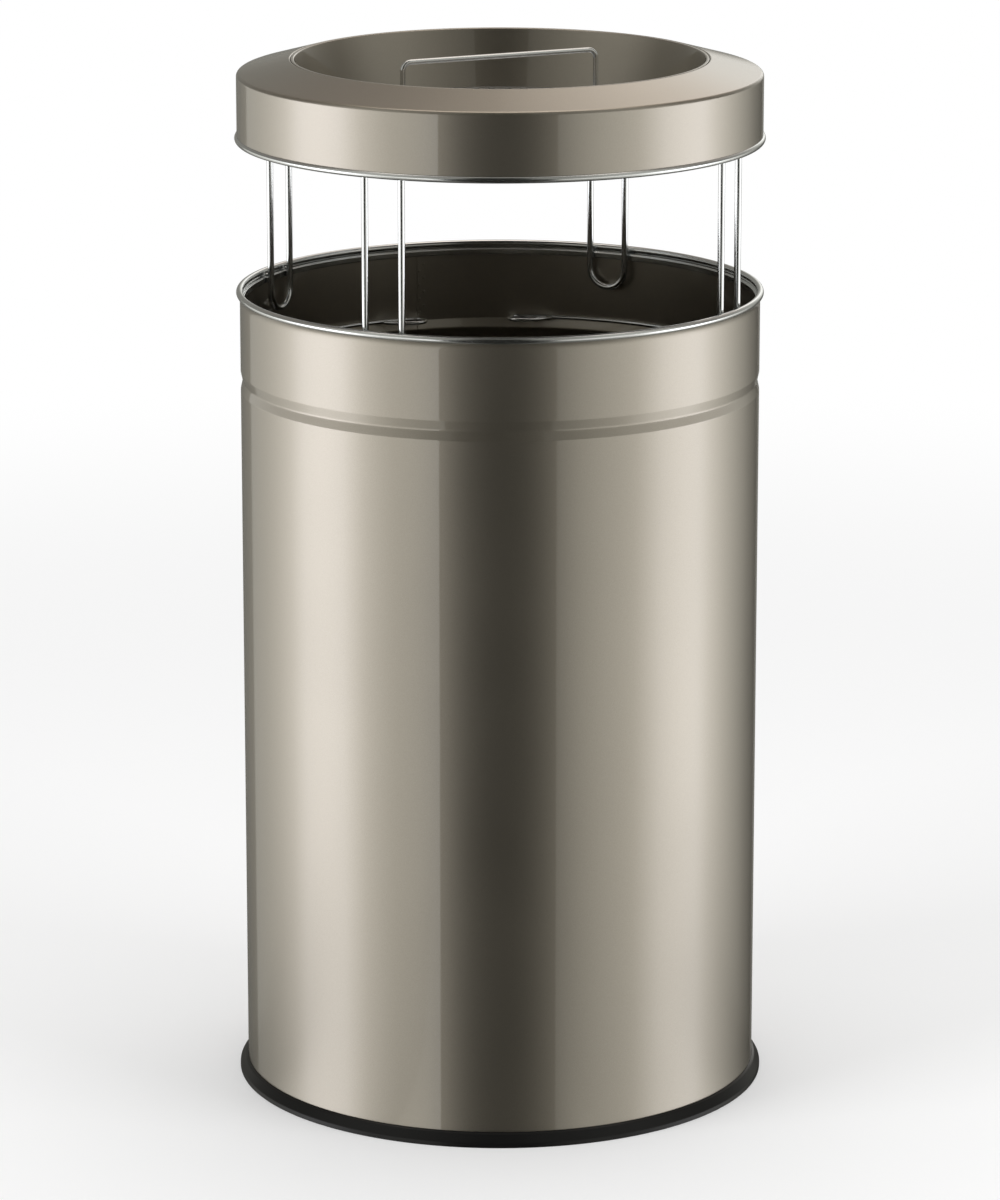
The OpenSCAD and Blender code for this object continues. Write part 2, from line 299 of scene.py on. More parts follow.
def outline(corners: Sequence[Corner], closed: bool = True) -> list[SectionPoint]:
    """Round the corners of a section.

    Each rounding keeps a point close by on the straights that it joins, so that smooth
    shading stays within it.

    Args:
        corners: The section's corners in order.
        closed: Whether the last corner joins the first.

    Returns:
        The section's points in order.
    """
    points: list[SectionPoint] = []

    def put(place: Vector) -> None:
        """Add a point unless the last one is there already."""
        if not points or (Vector(points[-1]) - place).length > MERGE_DISTANCE:
            points.append((place.x, place.y))

    count = len(corners)
    places = [Vector(corner[:2]) for corner in corners]
    sides = [[(index + side) % count for side in (-1, 1)] for index in range(count)]
    reaches = [0.0] * count
    for index, corner in enumerate(corners):
        if corner.rounding > 0.0 and (closed or 0 < index < count - 1):
            before, after = (places[other] - places[index] for other in sides[index])
            reaches[index] = corner.rounding / math.tan(before.angle(after) / 2.0)
    for index, corner in enumerate(corners):
        here, reach = places[index], reaches[index]
        if reach == 0.0:
            put(here)
            continue
        spare = [(places[other] - here).length - reach - reaches[other] for other in sides[index]]
        before, after = ((places[other] - here).normalized() for other in sides[index])
        middle = here + (before + after).normalized() * math.hypot(reach, corner.rounding)
        start, end = here + before * reach, here + after * reach
        put(start + before * min(GUARD, spare[0] / 3.0))
        sweep = (start - middle).angle_signed(end - middle)
        steps = max(2, math.ceil(abs(sweep) / ARC_STEP))
        for step in range(steps + 1):
            put(middle + Matrix.Rotation(-sweep * step / steps, 2) @ (start - middle))
        put(end + after * min(GUARD, spare[1] / 3.0))
    return points


def draw_section(name: str, points: Sequence[SectionPoint], closed: bool) -> Piece:
    """Draw a section in the XZ plane, point by point.

    Args:
        name: The piece's name.
        points: The section's points in order, as radius and height.
        closed: Whether the last point joins the first.

    Returns:
        The piece, open in edit mode.
    """
    clear_selection()
    first = Vector((points[0][0], 0.0, points[0][1]))
    bpy.ops.mesh.primitive_plane_add(size=GUARD, location=first)
    piece = new_piece(name)
    bpy.ops.mesh.merge(type="CENTER")
    place = first
    for radius, height in points[1:]:
        target = Vector((radius, 0.0, height))
        bpy.ops.mesh.extrude_vertices_move(TRANSFORM_OT_translate={"value": target - place})
        place = target
    if closed:
        ends = (first, place)
        select_points(piece, lambda co: min((co - end).length for end in ends) < MERGE_DISTANCE)
        bpy.ops.mesh.edge_face_add()
    return piece


def turned(name: str, corners: Sequence[Corner], closed: bool = True,
           steps: int = FULL_TURN_STEPS) -> Piece:
    """Turn a piece: draw its section and spin it all the way round the bin's axis.

    Args:
        name: The piece's name.
        corners: The section's corners in order.
        closed: Whether the last corner joins the first, or both lie on the axis.
        steps: How many steps the turn takes.

    Returns:
        The turned piece, a closed shell.
    """
    piece = draw_section(name, outline(corners, closed), closed)
    bpy.ops.mesh.select_all(action="SELECT")
    spin_on(math.tau, steps)
    close_shell()
    return piece


# Wire work: a ring pushed along its straights and spun round its bends


@dataclass
class WireBender:
    """A round wire, made as a bender makes it, from one end to the other.

    Its place and heading are those of the end that is being bent. The rounding, guard and
    reach of an end are shares of the wire's radius.
    """

    name: str
    diameter: float
    place: Vector
    heading: Vector
    sides: int
    bend_step: float = math.radians(7.5)
    end_rounding: float = 0.2
    end_guard: float = 0.3
    end_reach: float = 1.05
    end_flatness: float = 0.00004

    def __post_init__(self) -> None:
        """Start the wire with a ring of vertices across its heading."""
        clear_selection()
        self.radius = self.diameter / 2.0
        self.place = self.place.copy()
        turn = UP.rotation_difference(self.heading).to_euler()
        bpy.ops.mesh.primitive_circle_add(
            vertices=self.sides, radius=self.radius, fill_type="NOTHING", location=self.place, rotation=turn
        )
        self.piece = new_piece(self.name)
        self.heading = self.heading.normalized()
        self.first_end = (self.place.copy(), self.heading.copy())

    def straight(self, length: float) -> WireBender:
        """Push the wire on, with a ring close to each end that keeps the straight's gloss straight.

        Args:
            length: The length of the straight.

        Returns:
            The bender, for the next step.
        """
        guard = min(self.radius * self.end_guard, length / 3.0)
        for part in (guard, length - 2.0 * guard, guard):
            step = self.heading * part
            push_on(step)
            self.place += step
        return self

    def bend(self, radius: float, degrees: float, axis: Vector) -> WireBender:
        """Bend the wire on round an axis, anticlockwise about it for a positive angle.

        Args:
            radius: The bend's radius, to the middle of the wire.
            degrees: How far the wire turns.
            axis: The direction of the axis.

        Returns:
            The bender, for the next step.
        """
        angle = math.radians(degrees)
        inward = axis.cross(self.heading).normalized() * math.copysign(1.0, angle)
        centre = self.place + inward * radius
        turn = Matrix.Rotation(angle, 3, axis)
        goal = centre + turn @ (self.place - centre)
        steps = max(2, math.ceil(abs(angle) / self.bend_step))
        spin_on(angle, steps, centre, axis)
        self.place = goal
        self.heading = (turn @ self.heading).normalized()
        return self

    def cut_off(self) -> Piece:
        """Cap both ends, round their edges and close the wire.

        Returns:
            The finished wire.
        """
        for middle, heading in (self.first_end, (self.place, self.heading)):
            select_points(self.piece, lambda co: self.lies_across(co, middle, heading))
            bpy.ops.mesh.edge_face_add()
            bpy.ops.mesh.bevel(offset=self.radius * self.end_rounding, segments=2, affect="EDGES")
        close_shell()
        return self.piece

    def lies_across(self, co: Vector, middle: Vector, heading: Vector) -> bool:
        """Say whether a vertex belongs to the ring across the wire at a place."""
        offset = co - middle
        return abs(offset.dot(heading)) < self.end_flatness and offset.length < self.end_reach * self.radius


# Finishes


class NodeBook:
    """A node tree that is written step by step."""

    def __init__(self, tree: NodeTree) -> None:
        """Keep the tree.

        Args:
            tree: The tree to write in.
        """
        self.tree = tree

    @classmethod
    def on(cls, owner: Material | bpy.types.World) -> NodeBook:
        """Start on the emptied tree of a material or a world.

        Args:
            owner: What the tree belongs to.

        Returns:
            The book.
        """
        owner.use_nodes = True
        owner.node_tree.nodes.clear()
        return cls(owner.node_tree)

    def put(self, node: Node, key: str | int, value: object) -> None:
        """Write a value into an input, or link a socket to it.

        Args:
            node: The node.
            key: The input's name or index.
            value: The value or the socket.
        """
        if isinstance(value, Socket):
            self.tree.links.new(value, node.inputs[key])
        else:
            node.inputs[key].default_value = value

    def add(self, kind: str, values: dict[str | int, object] | None = None, **settings: object) -> Node:
        """Add a node.

        Args:
            kind: The node's type.
            values: Values or sockets for its inputs, by name or index.
            **settings: The node's own properties.

        Returns:
            The node.
        """
        node = self.tree.nodes.new(kind)
        for name, setting in settings.items():
            setattr(node, name, setting)
        for key, value in (values or {}).items():
            self.put(node, key, value)
        return node

    def add_group(self, group: NodeTree, **values: float) -> Node:
        """Place a shared group.

        Args:
            group: The group.
            **values: Values for its inputs.

        Returns:
            The group's node.
        """
        node = self.add("ShaderNodeGroup", node_tree=group)
        for name, value in values.items():
            self.put(node, name, value)
        return node

    def own_place(self) -> Socket:
        """Read a place in the object's own coordinates."""
        return self.add("ShaderNodeTexCoord").outputs["Object"]

    def noise(self, place: Socket, scale: object, detail: float) -> Socket:
        """Add a noise.

        Args:
            place: The place's socket.
            scale: The noise's scale, a number or a socket.
            detail: How much fine detail it has.

        Returns:
            Its value.
        """
        return self.add("ShaderNodeTexNoise", {"Vector": place, "Scale": scale, "Detail": detail}).outputs[0]

    def calc(self, operation: str, *terms: object) -> Socket:
        """Add a Math node.

        Args:
            operation: The Math node's operation.
            *terms: Its inputs, numbers or sockets.

        Returns:
            Its result.
        """
        return self.add("ShaderNodeMath", dict(enumerate(terms)), operation=operation).outputs[0]

    def spread(self, value: Socket, low: float, high: float, to_low: object, to_high: object,
               smooth: bool = False) -> Socket:
        """Map a value from one range to another.

        Args:
            value: The value's socket.
            low: The value that becomes to_low.
            high: The value that becomes to_high.
            to_low: A number or a socket.
            to_high: A number or a socket.
            smooth: Whether the change eases in and out.

        Returns:
            The mapped value.
        """
        node = self.add(
            "ShaderNodeMapRange",
            {"Value": value, "From Min": low, "From Max": high, "To Min": to_low, "To Max": to_high},
            interpolation_type="SMOOTHSTEP" if smooth else "LINEAR",
        )
        return node.outputs["Result"]

    def blend(self, mask: Socket, first: Colour | Socket, second: Colour | Socket) -> Socket:
        """Mix two colours by a mask.

        Args:
            mask: The mask's socket.
            first: The colour at mask 0.
            second: The colour at mask 1.

        Returns:
            The mixed colour.
        """
        node = self.add("ShaderNodeMix", {0: mask}, data_type="RGBA")
        for key, colour in ((6, first), (7, second)):
            self.put(node, key, colour if isinstance(colour, Socket) else (*colour, 1.0))
        return node.outputs[2]

    def raise_surface(self, shader: Node, height: Socket, depth: float, strength: float) -> None:
        """Let a height shape a shader's normal.

        Args:
            shader: The shader.
            height: The height's socket, between 0 and 1.
            depth: What a height of 1 measures.
            strength: How strongly it shows.
        """
        bump = self.add("ShaderNodeBump", {"Height": height, "Distance": depth, "Strength": strength})
        self.put(shader, "Normal", bump.outputs["Normal"])


class Effect:
    """The shader node groups that several materials share, each built once."""

    MARKS_DETAIL: ClassVar[float] = 3.0
    MARKS_RANGE: ClassVar[tuple[float, float]] = (0.35, 0.65)
    GRAIN_DETAIL: ClassVar[float] = 2.0
    GRAIN_RANGE: ClassVar[tuple[float, float]] = (0.4, 0.6)
    LINES_DETAIL: ClassVar[float] = 2.0

    _built: ClassVar[dict[str, NodeTree]] = {}

    @classmethod
    def group(cls, name: str, inputs: dict[str, float], outputs: Iterable[str],
              write: Callable[[NodeBook, Node, Node], None]) -> NodeTree:
        """Build a group, or give the one that was built before.

        Args:
            name: The group's name.
            inputs: Its inputs and their defaults.
            outputs: Its outputs.
            write: What writes the nodes between the group's input and output nodes.

        Returns:
            The group.
        """
        if name not in cls._built:
            tree = bpy.data.node_groups.new(name, "ShaderNodeTree")
            for label, default in inputs.items():
                socket = tree.interface.new_socket(label, in_out="INPUT", socket_type="NodeSocketFloat")
                socket.default_value = default
            for label in outputs:
                tree.interface.new_socket(label, in_out="OUTPUT", socket_type="NodeSocketFloat")
            book = NodeBook(tree)
            write(book, book.add("NodeGroupInput"), book.add("NodeGroupOutput"))
            cls._built[name] = tree
        return cls._built[name]

    @classmethod
    def soft_marks(cls) -> NodeTree:
        """Broad, faint patches of duller and glossier surface.

        Returns:
            The group.
        """

        def write(book: NodeBook, given: Node, result: Node) -> None:
            """Spread a broad noise between the two given values.

            Args:
                book: The group's tree.
                given: The node with its inputs.
                result: The node with its outputs.
            """
            cloud = book.noise(book.own_place(), given.outputs["Scale"], cls.MARKS_DETAIL)
            value = book.spread(cloud, *cls.MARKS_RANGE, given.outputs["Low"], given.outputs["High"])
            book.put(result, "Value", value)

        return cls.group("soft_marks", {"Scale": 8.0, "Low": 0.3, "High": 0.4}, ["Value"], write)

    @classmethod
    def fine_grain(cls) -> NodeTree:
        """Fine, even grain, as a mask and as a height.

        Returns:
            The group.
        """

        def write(book: NodeBook, given: Node, result: Node) -> None:
            """Use one noise for the height and its sharpened form for the mask.

            Args:
                book: The group's tree.
                given: The node with its inputs.
                result: The node with its outputs.
            """
            grain = book.noise(book.own_place(), given.outputs["Scale"], cls.GRAIN_DETAIL)
            book.put(result, "Height", grain)
            book.put(result, "Mask", book.spread(grain, *cls.GRAIN_RANGE, 0.0, 1.0))

        return cls.group("fine_grain", {"Scale": 500.0}, ["Mask", "Height"], write)

    @classmethod
    def turned_lines(cls) -> NodeTree:
        """Faint lines that run round the bin's axis, as rolling and polishing leave them.

        Returns:
            The group.
        """

        def write(book: NodeBook, given: Node, result: Node) -> None:
            """Use a noise that reads only the radius and the height.

            Args:
                book: The group's tree.
                given: The node with its inputs.
                result: The node with its outputs.
            """
            axes = book.add("ShaderNodeSeparateXYZ", {"Vector": book.own_place()}).outputs
            squares = [book.calc("MULTIPLY", axes[name], axes[name]) for name in "XY"]
            radius = book.calc("SQRT", book.calc("ADD", *squares))
            section = book.add("ShaderNodeCombineXYZ", {"X": radius, "Y": axes["Z"]}).outputs[0]
            book.put(result, "Height", book.noise(section, given.outputs["Scale"], cls.LINES_DETAIL))

        return cls.group("turned_lines", {"Scale": 1500.0}, ["Height"], write)


@dataclass(frozen=True)
class SurfaceFinish:
    """A finish: the plain numbers of its shader and how its surface varies."""

    slot: Slot
    colour: Colour
    roughness: tuple[float, float]
    marks_scale: float = 8.0
    metallic: float = 1.0

    def build(self) -> Material:
        """Write the material.

        Returns:
            The material, named after its slot.
        """
        material = bpy.data.materials.new(self.slot.value)
        book = NodeBook.on(material)
        plain = {"Base Color": (*self.colour, 1.0), "Metallic": self.metallic}
        shader = book.add("ShaderNodeBsdfPrincipled", plain)
        low, high = self.roughness
        marks = book.add_group(Effect.soft_marks(), Scale=self.marks_scale, Low=low, High=high)
        book.put(shader, "Roughness", marks.outputs["Value"])
        self.dress(book, shader)
        book.add("ShaderNodeOutputMaterial", {"Surface": shader.outputs["BSDF"]})
        return material

    def dress(self, book: NodeBook, shader: Node) -> None:
        """Add what is particular to the finish.

        Args:
            book: The material's tree.
            shader: Its shader.
        """

    def tones(self, contrast: float) -> tuple[Colour, Colour]:
        """The finish's colour, made darker and lighter.

        Args:
            contrast: How much of the colour is taken off and added.

        Returns:
            The darker and the lighter colour.
        """

        def changed(share: float) -> Colour:
            """The colour with a share of itself added."""
            return tuple(min(1.0, channel * (1.0 + share)) for channel in self.colour)

        return changed(-contrast), changed(contrast)


@dataclass(frozen=True)
class MetallicLacquer(SurfaceFinish):
    """Stoved metallic lacquer: fine metal flakes under a clear gloss coat."""

    flake_scale: float = 2600.0
    flake_contrast: float = 0.05
    flow_scale: float = 160.0
    flow_depth: float = 0.0002
    flow_strength: float = 0.006
    coat_roughness: float = 0.015
    coat_ior: float = 1.6

    def dress(self, book: NodeBook, shader: Node) -> None:
        """Add the flakes, the clear coat and the coat's faint flow.

        Args:
            book: The material's tree.
            shader: Its shader.
        """
        flakes = book.add_group(Effect.fine_grain(), Scale=self.flake_scale)
        book.put(shader, "Base Color", book.blend(flakes.outputs["Mask"], *self.tones(self.flake_contrast)))
        flow = book.add_group(Effect.fine_grain(), Scale=self.flow_scale)
        book.raise_surface(shader, flow.outputs["Height"], self.flow_depth, self.flow_strength)
        book.put(shader, "Coat Weight", 1.0)
        book.put(shader, "Coat Roughness", self.coat_roughness)
        book.put(shader, "Coat IOR", self.coat_ior)


@dataclass(frozen=True)
class PolishedMetal(SurfaceFinish):
    """Bright metal with faint lines from rolling or drawing."""

    line_scale: float = 1500.0
    line_depth: float = 0.00005
    line_strength: float = 0.05

    def dress(self, book: NodeBook, shader: Node) -> None:
        """Add the lines."""
        lines = book.add_group(Effect.turned_lines(), Scale=self.line_scale)
        book.raise_surface(shader, lines.outputs["Height"], self.line_depth, self.line_strength)


@dataclass(frozen=True)
class ZincSheet(PolishedMetal):
    """Zinc-coated sheet: faint spangle, and the lines of its rolling."""

    line_scale: float = 900.0
    line_strength: float = 0.04
    spangle_scale: float = 160.0
    spangle_contrast: float = 0.08

    def dress(self, book: NodeBook, shader: Node) -> None:
        """Add the spangle's flat crystals and the lines.

        Args:
            book: The material's tree.
            shader: Its shader.
        """
        look = {"Vector": book.own_place(), "Scale": self.spangle_scale, "Randomness": 1.0}
        crystals = book.add("ShaderNodeTexVoronoi", look)
        shade = book.add("ShaderNodeSeparateColor", {"Color": crystals.outputs["Color"]}).outputs[0]
        book.put(shader, "Base Color", book.blend(shade, *self.tones(self.spangle_contrast)))
        super().dress(book, shader)


@dataclass(frozen=True)
class WeldMetal(SurfaceFinish):
    """Dull weld metal, tinted brown by the heat in places."""

    heat_colour: Colour = (0.20, 0.13, 0.08)
    heat_share: float = 0.35
    heat_scale: float = 260.0
    ripple_scale: float = 900.0
    ripple_depth: float = 0.0004
    ripple_strength: float = 0.5

    def dress(self, book: NodeBook, shader: Node) -> None:
        """Add the heat's tint and the ripples of the bead.

        Args:
            book: The material's tree.
            shader: Its shader.
        """
        heat = book.add_group(Effect.soft_marks(), Scale=self.heat_scale, Low=0.0, High=self.heat_share)
        book.put(shader, "Base Color", book.blend(heat.outputs["Value"], self.colour, self.heat_colour))
        ripples = book.add_group(Effect.fine_grain(), Scale=self.ripple_scale)
        book.raise_surface(shader, ripples.outputs["Height"], self.ripple_depth, self.ripple_strength)


@dataclass(frozen=True)
class MouldedPlastic(SurfaceFinish):
    """Black plastic with the fine grain of its mould."""

    grain_scale: float = 2200.0
    grain_contrast: float = 0.15
    grain_depth: float = 0.0001
    grain_strength: float = 0.12
    specular_level: float = 0.30

    def dress(self, book: NodeBook, shader: Node) -> None:
        """Add the mould's grain and a slight change of tone.

        Args:
            book: The material's tree.
            shader: Its shader.
        """
        grain = book.add_group(Effect.fine_grain(), Scale=self.grain_scale)
        book.put(shader, "Base Color", book.blend(grain.outputs["Mask"], *self.tones(self.grain_contrast)))
        book.raise_surface(shader, grain.outputs["Height"], self.grain_depth, self.grain_strength)
        book.put(shader, "Specular IOR Level", self.specular_level)


FINISHES: tuple[SurfaceFinish, ...] = (
    MetallicLacquer(Slot.PAINT, (0.42, 0.385, 0.328), (0.37, 0.40), marks_scale=5.0),
    PolishedMetal(Slot.RING, (0.80, 0.82, 0.825), (0.14, 0.20), marks_scale=30.0),
    PolishedMetal(Slot.WIRE, (0.78, 0.80, 0.81), (0.13, 0.19), marks_scale=60.0, line_strength=0.02),
    ZincSheet(Slot.SHEET, (0.56, 0.57, 0.58), (0.34, 0.46), marks_scale=20.0),
    WeldMetal(Slot.WELD, (0.42, 0.41, 0.40), (0.42, 0.60), marks_scale=300.0),
    MouldedPlastic(Slot.PLASTIC, (0.006, 0.006, 0.006), (0.28, 0.34), marks_scale=12.0, metallic=0.0),
)


# The bin's sub-assemblies


@dataclass
class Assembly:
    """A part of the bin that is made and dressed together."""

    materials: dict[Slot, Material]

    def fit(self, piece: Piece, node: str, body: Body, slot: Slot) -> None:
        """Shade a finished piece, give it its finish and let it stand for its node.

        Args:
            piece: The piece, with its place in its mesh.
            node: The frame's node that it stands for.
            body: The body that it moves with.
            slot: The record's slot of its finish.
        """
        take_up(piece)
        bpy.ops.object.shade_smooth_by_angle(angle=SMOOTH_ANGLE)
        piece.data.materials.clear()
        piece.data.materials.append(self.materials[slot])
        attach(piece, body.value)
        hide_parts(node)
        LOG.info("%s: %d faces, for %s on %s", piece.name, len(piece.data.polygons), node, body.value)

    def build(self) -> None:
        """Make and dress every piece of the assembly."""
        raise NotImplementedError


@dataclass
class SheetWork(Assembly):
    """An assembly of sheet metal, with the sizes that such pieces share.

    The last two fields shape a rolled bead's inner side and where its band starts: each is a
    height from the bead's middle and a rounding, as shares of the bead's radius.
    """

    sheet: float = 0.001
    roll: float = 0.0052
    band: float = 0.0008
    fit_gap: float = 0.0001
    cut_rounding: float = 0.0003
    fine_rounding: float = 0.0002
    bead_side: tuple[float, float] = (0.35, 0.50)
    bead_end: tuple[float, float] = (0.95, 0.25)

    def rolled_bead(self, face: float, outer: float, middle: float, way: float) -> list[Corner]:
        """The corners of a bead rolled round the edge of a sheet, with a band on the sheet's inside.

        Args:
            face: The radius of the sheet's outer face.
            outer: The bead's outer radius.
            middle: The height of its middle.
            way: 1 where the sheet leaves it upwards, -1 where downwards.

        Returns:
            The corners from the sheet's outer face, round the bead, to the start of the band.
        """
        size = self.roll / 2.0
        half = size * way
        at_sheet = face + self.fit_gap
        bead_in = outer - self.roll
        band_in = face - self.sheet - self.fit_gap - self.band
        lean = math.acos((at_sheet - outer + size) / size)
        (side_height, side_rounding), (end_height, end_rounding) = self.bead_side, self.bead_end
        return [
            Corner(at_sheet, middle + half * math.sin(lean)),
            Corner(outer, middle + half * math.tan(lean / 2.0), size),
            Corner(outer, middle - half, size),
            Corner(bead_in, middle - half, size),
            Corner(bead_in, middle + half * side_height, size * side_rounding),
            Corner(band_in, middle + half * end_height, size * end_rounding),
        ]


@dataclass
class Can(SheetWork):
    """The open can: its painted wall, floor, foot ring and rolled rim.

    Drops are counted down from the rim's top, and the flare, the foot ring's crown and its lip
    outwards from the wall.
    """

    bead_drop: float = 0.070
    bead_height: float = 0.0147
    bead_depth: float = 0.00155
    bead_edge_rounding: float = 0.0030
    bead_foot_rounding: float = 0.0040
    flare: float = 0.0014
    flare_drops: tuple[float, float] = (0.0073, 0.00474)
    flare_rounding: float = 0.0100
    floor_rise: float = 0.003
    floor_edge_width: float = 0.043
    floor_bend: float = 0.003
    floor_step_rounding: float = 0.004
    ledge_drop: float = 0.0065
    ledge_width: float = 0.0026
    ledge_root_rounding: float = 0.0005
    ledge_rounding: float = 0.0006
    ring_side: float = 0.0036
    ring_side_rounding: float = 0.0025
    ring_crown_width: float = 0.0021
    ring_crown_drop: float = 0.0010
    ring_crown_rounding: float = 0.0020
    ring_lip: float = 0.00045
    ring_lip_rounding: float = 0.0001
    ring_floor: float = 0.0025
    ring_leg: float = 0.0028
    ring_rounding: float = 0.0007
    lap_azimuth: float = 108.5
    lap_width: float = 0.0075
    lap_sheet: float = 0.0006
    lap_steps: int = 8
    spot_radius: float = 0.0013
    spot_sides: int = 12
    spot_height: float = 0.0005
    spot_taper: float = 0.6
    spot_pitch: float = 0.011
    spot_leads: tuple[float, float] = (0.25, 0.75)

    @property
    def radius(self) -> float:
        """Radius of the wall's outer face."""
        return NodeBox.of("can_shell").radius

    @property
    def inner(self) -> float:
        """Radius of the wall's inner face."""
        return self.radius - self.sheet

    @property
    def top(self) -> float:
        """Height of the rim's top."""
        return NodeBox.of("rim_ring").high.z

    @property
    def bead_middle(self) -> float:
        """Height of the pressed bead's middle."""
        return self.top - self.bead_drop

    def build(self) -> None:
        """Make and dress every piece of the can."""
        self.fit(self.make_wall(), "can_shell", Body.CAN, Slot.PAINT)
        self.fit(self.make_lap(), "seam_lap", Body.CAN, Slot.PAINT)
        self.fit(self.make_floor(), "can_floor", Body.CAN, Slot.SHEET)
        self.fit(self.make_foot_ring(), "foot_ring", Body.CAN, Slot.PLASTIC)
        self.fit(self.make_rim(), "rim_ring", Body.CAN, Slot.RING)

    def wall_face(self, radius: float, box: NodeBox, end_rounding: float = 0.0) -> list[Corner]:
        """One face of the wall from its lower to its upper end, with the pressed bead.

        Args:
            radius: The face's radius away from the bead.
            box: The box of the node that it belongs to.
            end_rounding: The rounding at both ends.

        Returns:
            The corners of the face.
        """
        half = self.bead_height / 2.0
        return [
            Corner(radius, box.low.z, end_rounding),
            Corner(radius, self.bead_middle - half, self.bead_edge_rounding),
            Corner(radius - self.bead_depth, self.bead_middle, self.bead_foot_rounding),
            Corner(radius, self.bead_middle + half, self.bead_edge_rounding),
            Corner(radius, box.high.z, end_rounding),
        ]

    def make_wall(self) -> Piece:
        """Make the rolled wall with its pressed bead and the flare under the rolled rim.

        Returns:
            The wall.
        """
        box = NodeBox.of("can_shell")
        outer = self.wall_face(self.radius, box, self.cut_rounding)
        inner = self.wall_face(self.inner, box, self.cut_rounding)
        start, end = (self.top - drop for drop in self.flare_drops)
        flared = [Corner(self.radius, start, self.flare_rounding), Corner(self.radius + self.flare, end)]
        return turned("can_wall", [*outer[:-1], *flared, outer[-1], *reversed(inner)])

    def make_lap(self) -> Piece:
        """Make the seam's lap inside the wall, with its staggered rows of spot welds.

        Returns:
            The lap, in its place at the back.
        """
        box = NodeBox.of("seam_lap")
        outer = self.inner - self.fit_gap
        inner = outer - self.lap_sheet
        section = [*self.wall_face(outer, box), *reversed(self.wall_face(inner, box))]
        lap = draw_section("wall_lap", outline(section), closed=True)
        turn = 2.0 * math.asin(self.lap_width / 2.0 / outer)
        bpy.ops.mesh.select_all(action="SELECT")
        spin_on(turn, self.lap_steps)
        for end in (0.0, turn):
            across = Vector((-math.sin(end), math.cos(end), 0.0))
            select_points(lap, lambda co: abs(co.dot(across)) < MERGE_DISTANCE)
            bpy.ops.mesh.edge_face_add()
        close_shell()
        set_in_place(lap, -math.degrees(turn) / 2.0)
        lap = join_all([lap, *self.make_spots(inner, box)], "wall_lap")
        set_in_place(lap, self.lap_azimuth)
        return lap

    def make_spots(self, radius: float, box: NodeBox) -> list[Piece]:
        """Make the spot welds' flat marks, in two rows that are half a pitch apart.

        Args:
            radius: The radius of the face that they lie on.
            box: The lap's box in the frame.

        Returns:
            The marks.
        """
        clear_selection()
        bpy.ops.mesh.primitive_circle_add(
            vertices=self.spot_sides, radius=self.spot_radius, fill_type="NGON",
            location=OUTWARD * (radius + self.spot_height), rotation=(0.0, -math.pi / 2.0, 0.0),
        )
        mark = new_piece("spot")
        push_on(OUTWARD * (-2.0 * self.spot_height))
        taper = (1.0, self.spot_taper, self.spot_taper)
        bpy.ops.transform.resize(value=taper, center_override=OUTWARD * radius)
        close_shell()
        beside_bead = self.bead_height / 2.0 + self.spot_radius
        spots = []
        for side, lead in zip((-1.0, 1.0), self.spot_leads):
            height = box.low.z + self.spot_pitch * lead
            while height < box.high.z - self.spot_radius:
                if abs(height - self.bead_middle) > beside_bead:
                    place = Vector((0.0, side * self.lap_width / 4.0, height))
                    spots.append(copy_of(mark, f"spot_{len(spots)}", shift=place))
                height += self.spot_pitch
        bpy.data.objects.remove(mark)
        return spots

    def make_floor(self) -> Piece:
        """Make the floor sheet, pressed up in the middle and turned down at its edge.

        Returns:
            The floor.
        """
        box = NodeBox.of("can_floor")
        rim, raised = box.radius, box.high.z
        low_top = raised - self.floor_rise
        step = rim - self.floor_edge_width
        top = [
            Corner(0.0, raised),
            Corner(step - self.floor_rise, raised, self.floor_step_rounding),
            Corner(step, low_top, self.floor_step_rounding),
            Corner(rim, low_top, self.floor_bend),
            Corner(rim, box.low.z, self.cut_rounding),
        ]
        under = [
            Corner(rim - self.sheet, box.low.z, self.cut_rounding),
            Corner(rim - self.sheet, low_top - self.sheet, self.floor_bend - self.sheet),
            Corner(step, low_top - self.sheet, self.floor_step_rounding),
            Corner(step - self.floor_rise, raised - self.sheet, self.floor_step_rounding),
            Corner(0.0, raised - self.sheet),
        ]
        return turned("can_bottom", top + under, closed=False)

    def make_foot_ring(self) -> Piece:
        """Make the moulded foot ring that grips the wall's lower edge.

        Returns:
            The foot ring.
        """
        box = NodeBox.of("foot_ring")
        outer, top = box.radius, box.high.z
        lip = self.radius + self.fit_gap
        leg = self.inner - 2.0 * self.fit_gap - self.sheet
        return turned("foot_moulding", [
            Corner(leg - self.ring_leg, box.low.z, self.ring_rounding),
            Corner(outer, box.low.z, self.ring_rounding),
            Corner(outer, self.ring_side, self.ring_side_rounding),
            Corner(lip + self.ring_crown_width, top - self.ring_crown_drop, self.ring_crown_rounding),
            Corner(lip + self.ring_lip, top, self.cut_rounding),
            Corner(lip, top, self.ring_lip_rounding),
            Corner(lip, self.ring_floor),
            Corner(leg, self.ring_floor),
            Corner(leg, top, self.cut_rounding),
            Corner(leg - self.ring_leg, top, self.ring_rounding),
        ])

    def make_rim(self) -> Piece:
        """Make the rolled ring on the can's edge, with the band and ledge inside it.

        Returns:
            The rim.
        """
        box = NodeBox.of("rim_ring")
        middle = self.top - self.roll / 2.0
        slot_in = self.inner - self.fit_gap
        slot_out = self.radius + self.fit_gap
        ledge = slot_in - self.ledge_width
        ledge_top = self.top - self.ledge_drop
        return turned("rim_roll", [
            *self.rolled_bead(self.radius, box.radius, middle, -1.0),
            Corner(slot_in - self.band, ledge_top, self.ledge_root_rounding),
            Corner(ledge, ledge_top, self.ledge_rounding),
            Corner(ledge, box.low.z, self.ledge_rounding),
            Corner(slot_in, box.low.z, self.cut_rounding),
            Corner(slot_in, middle),
            Corner(slot_out, middle),
        ])


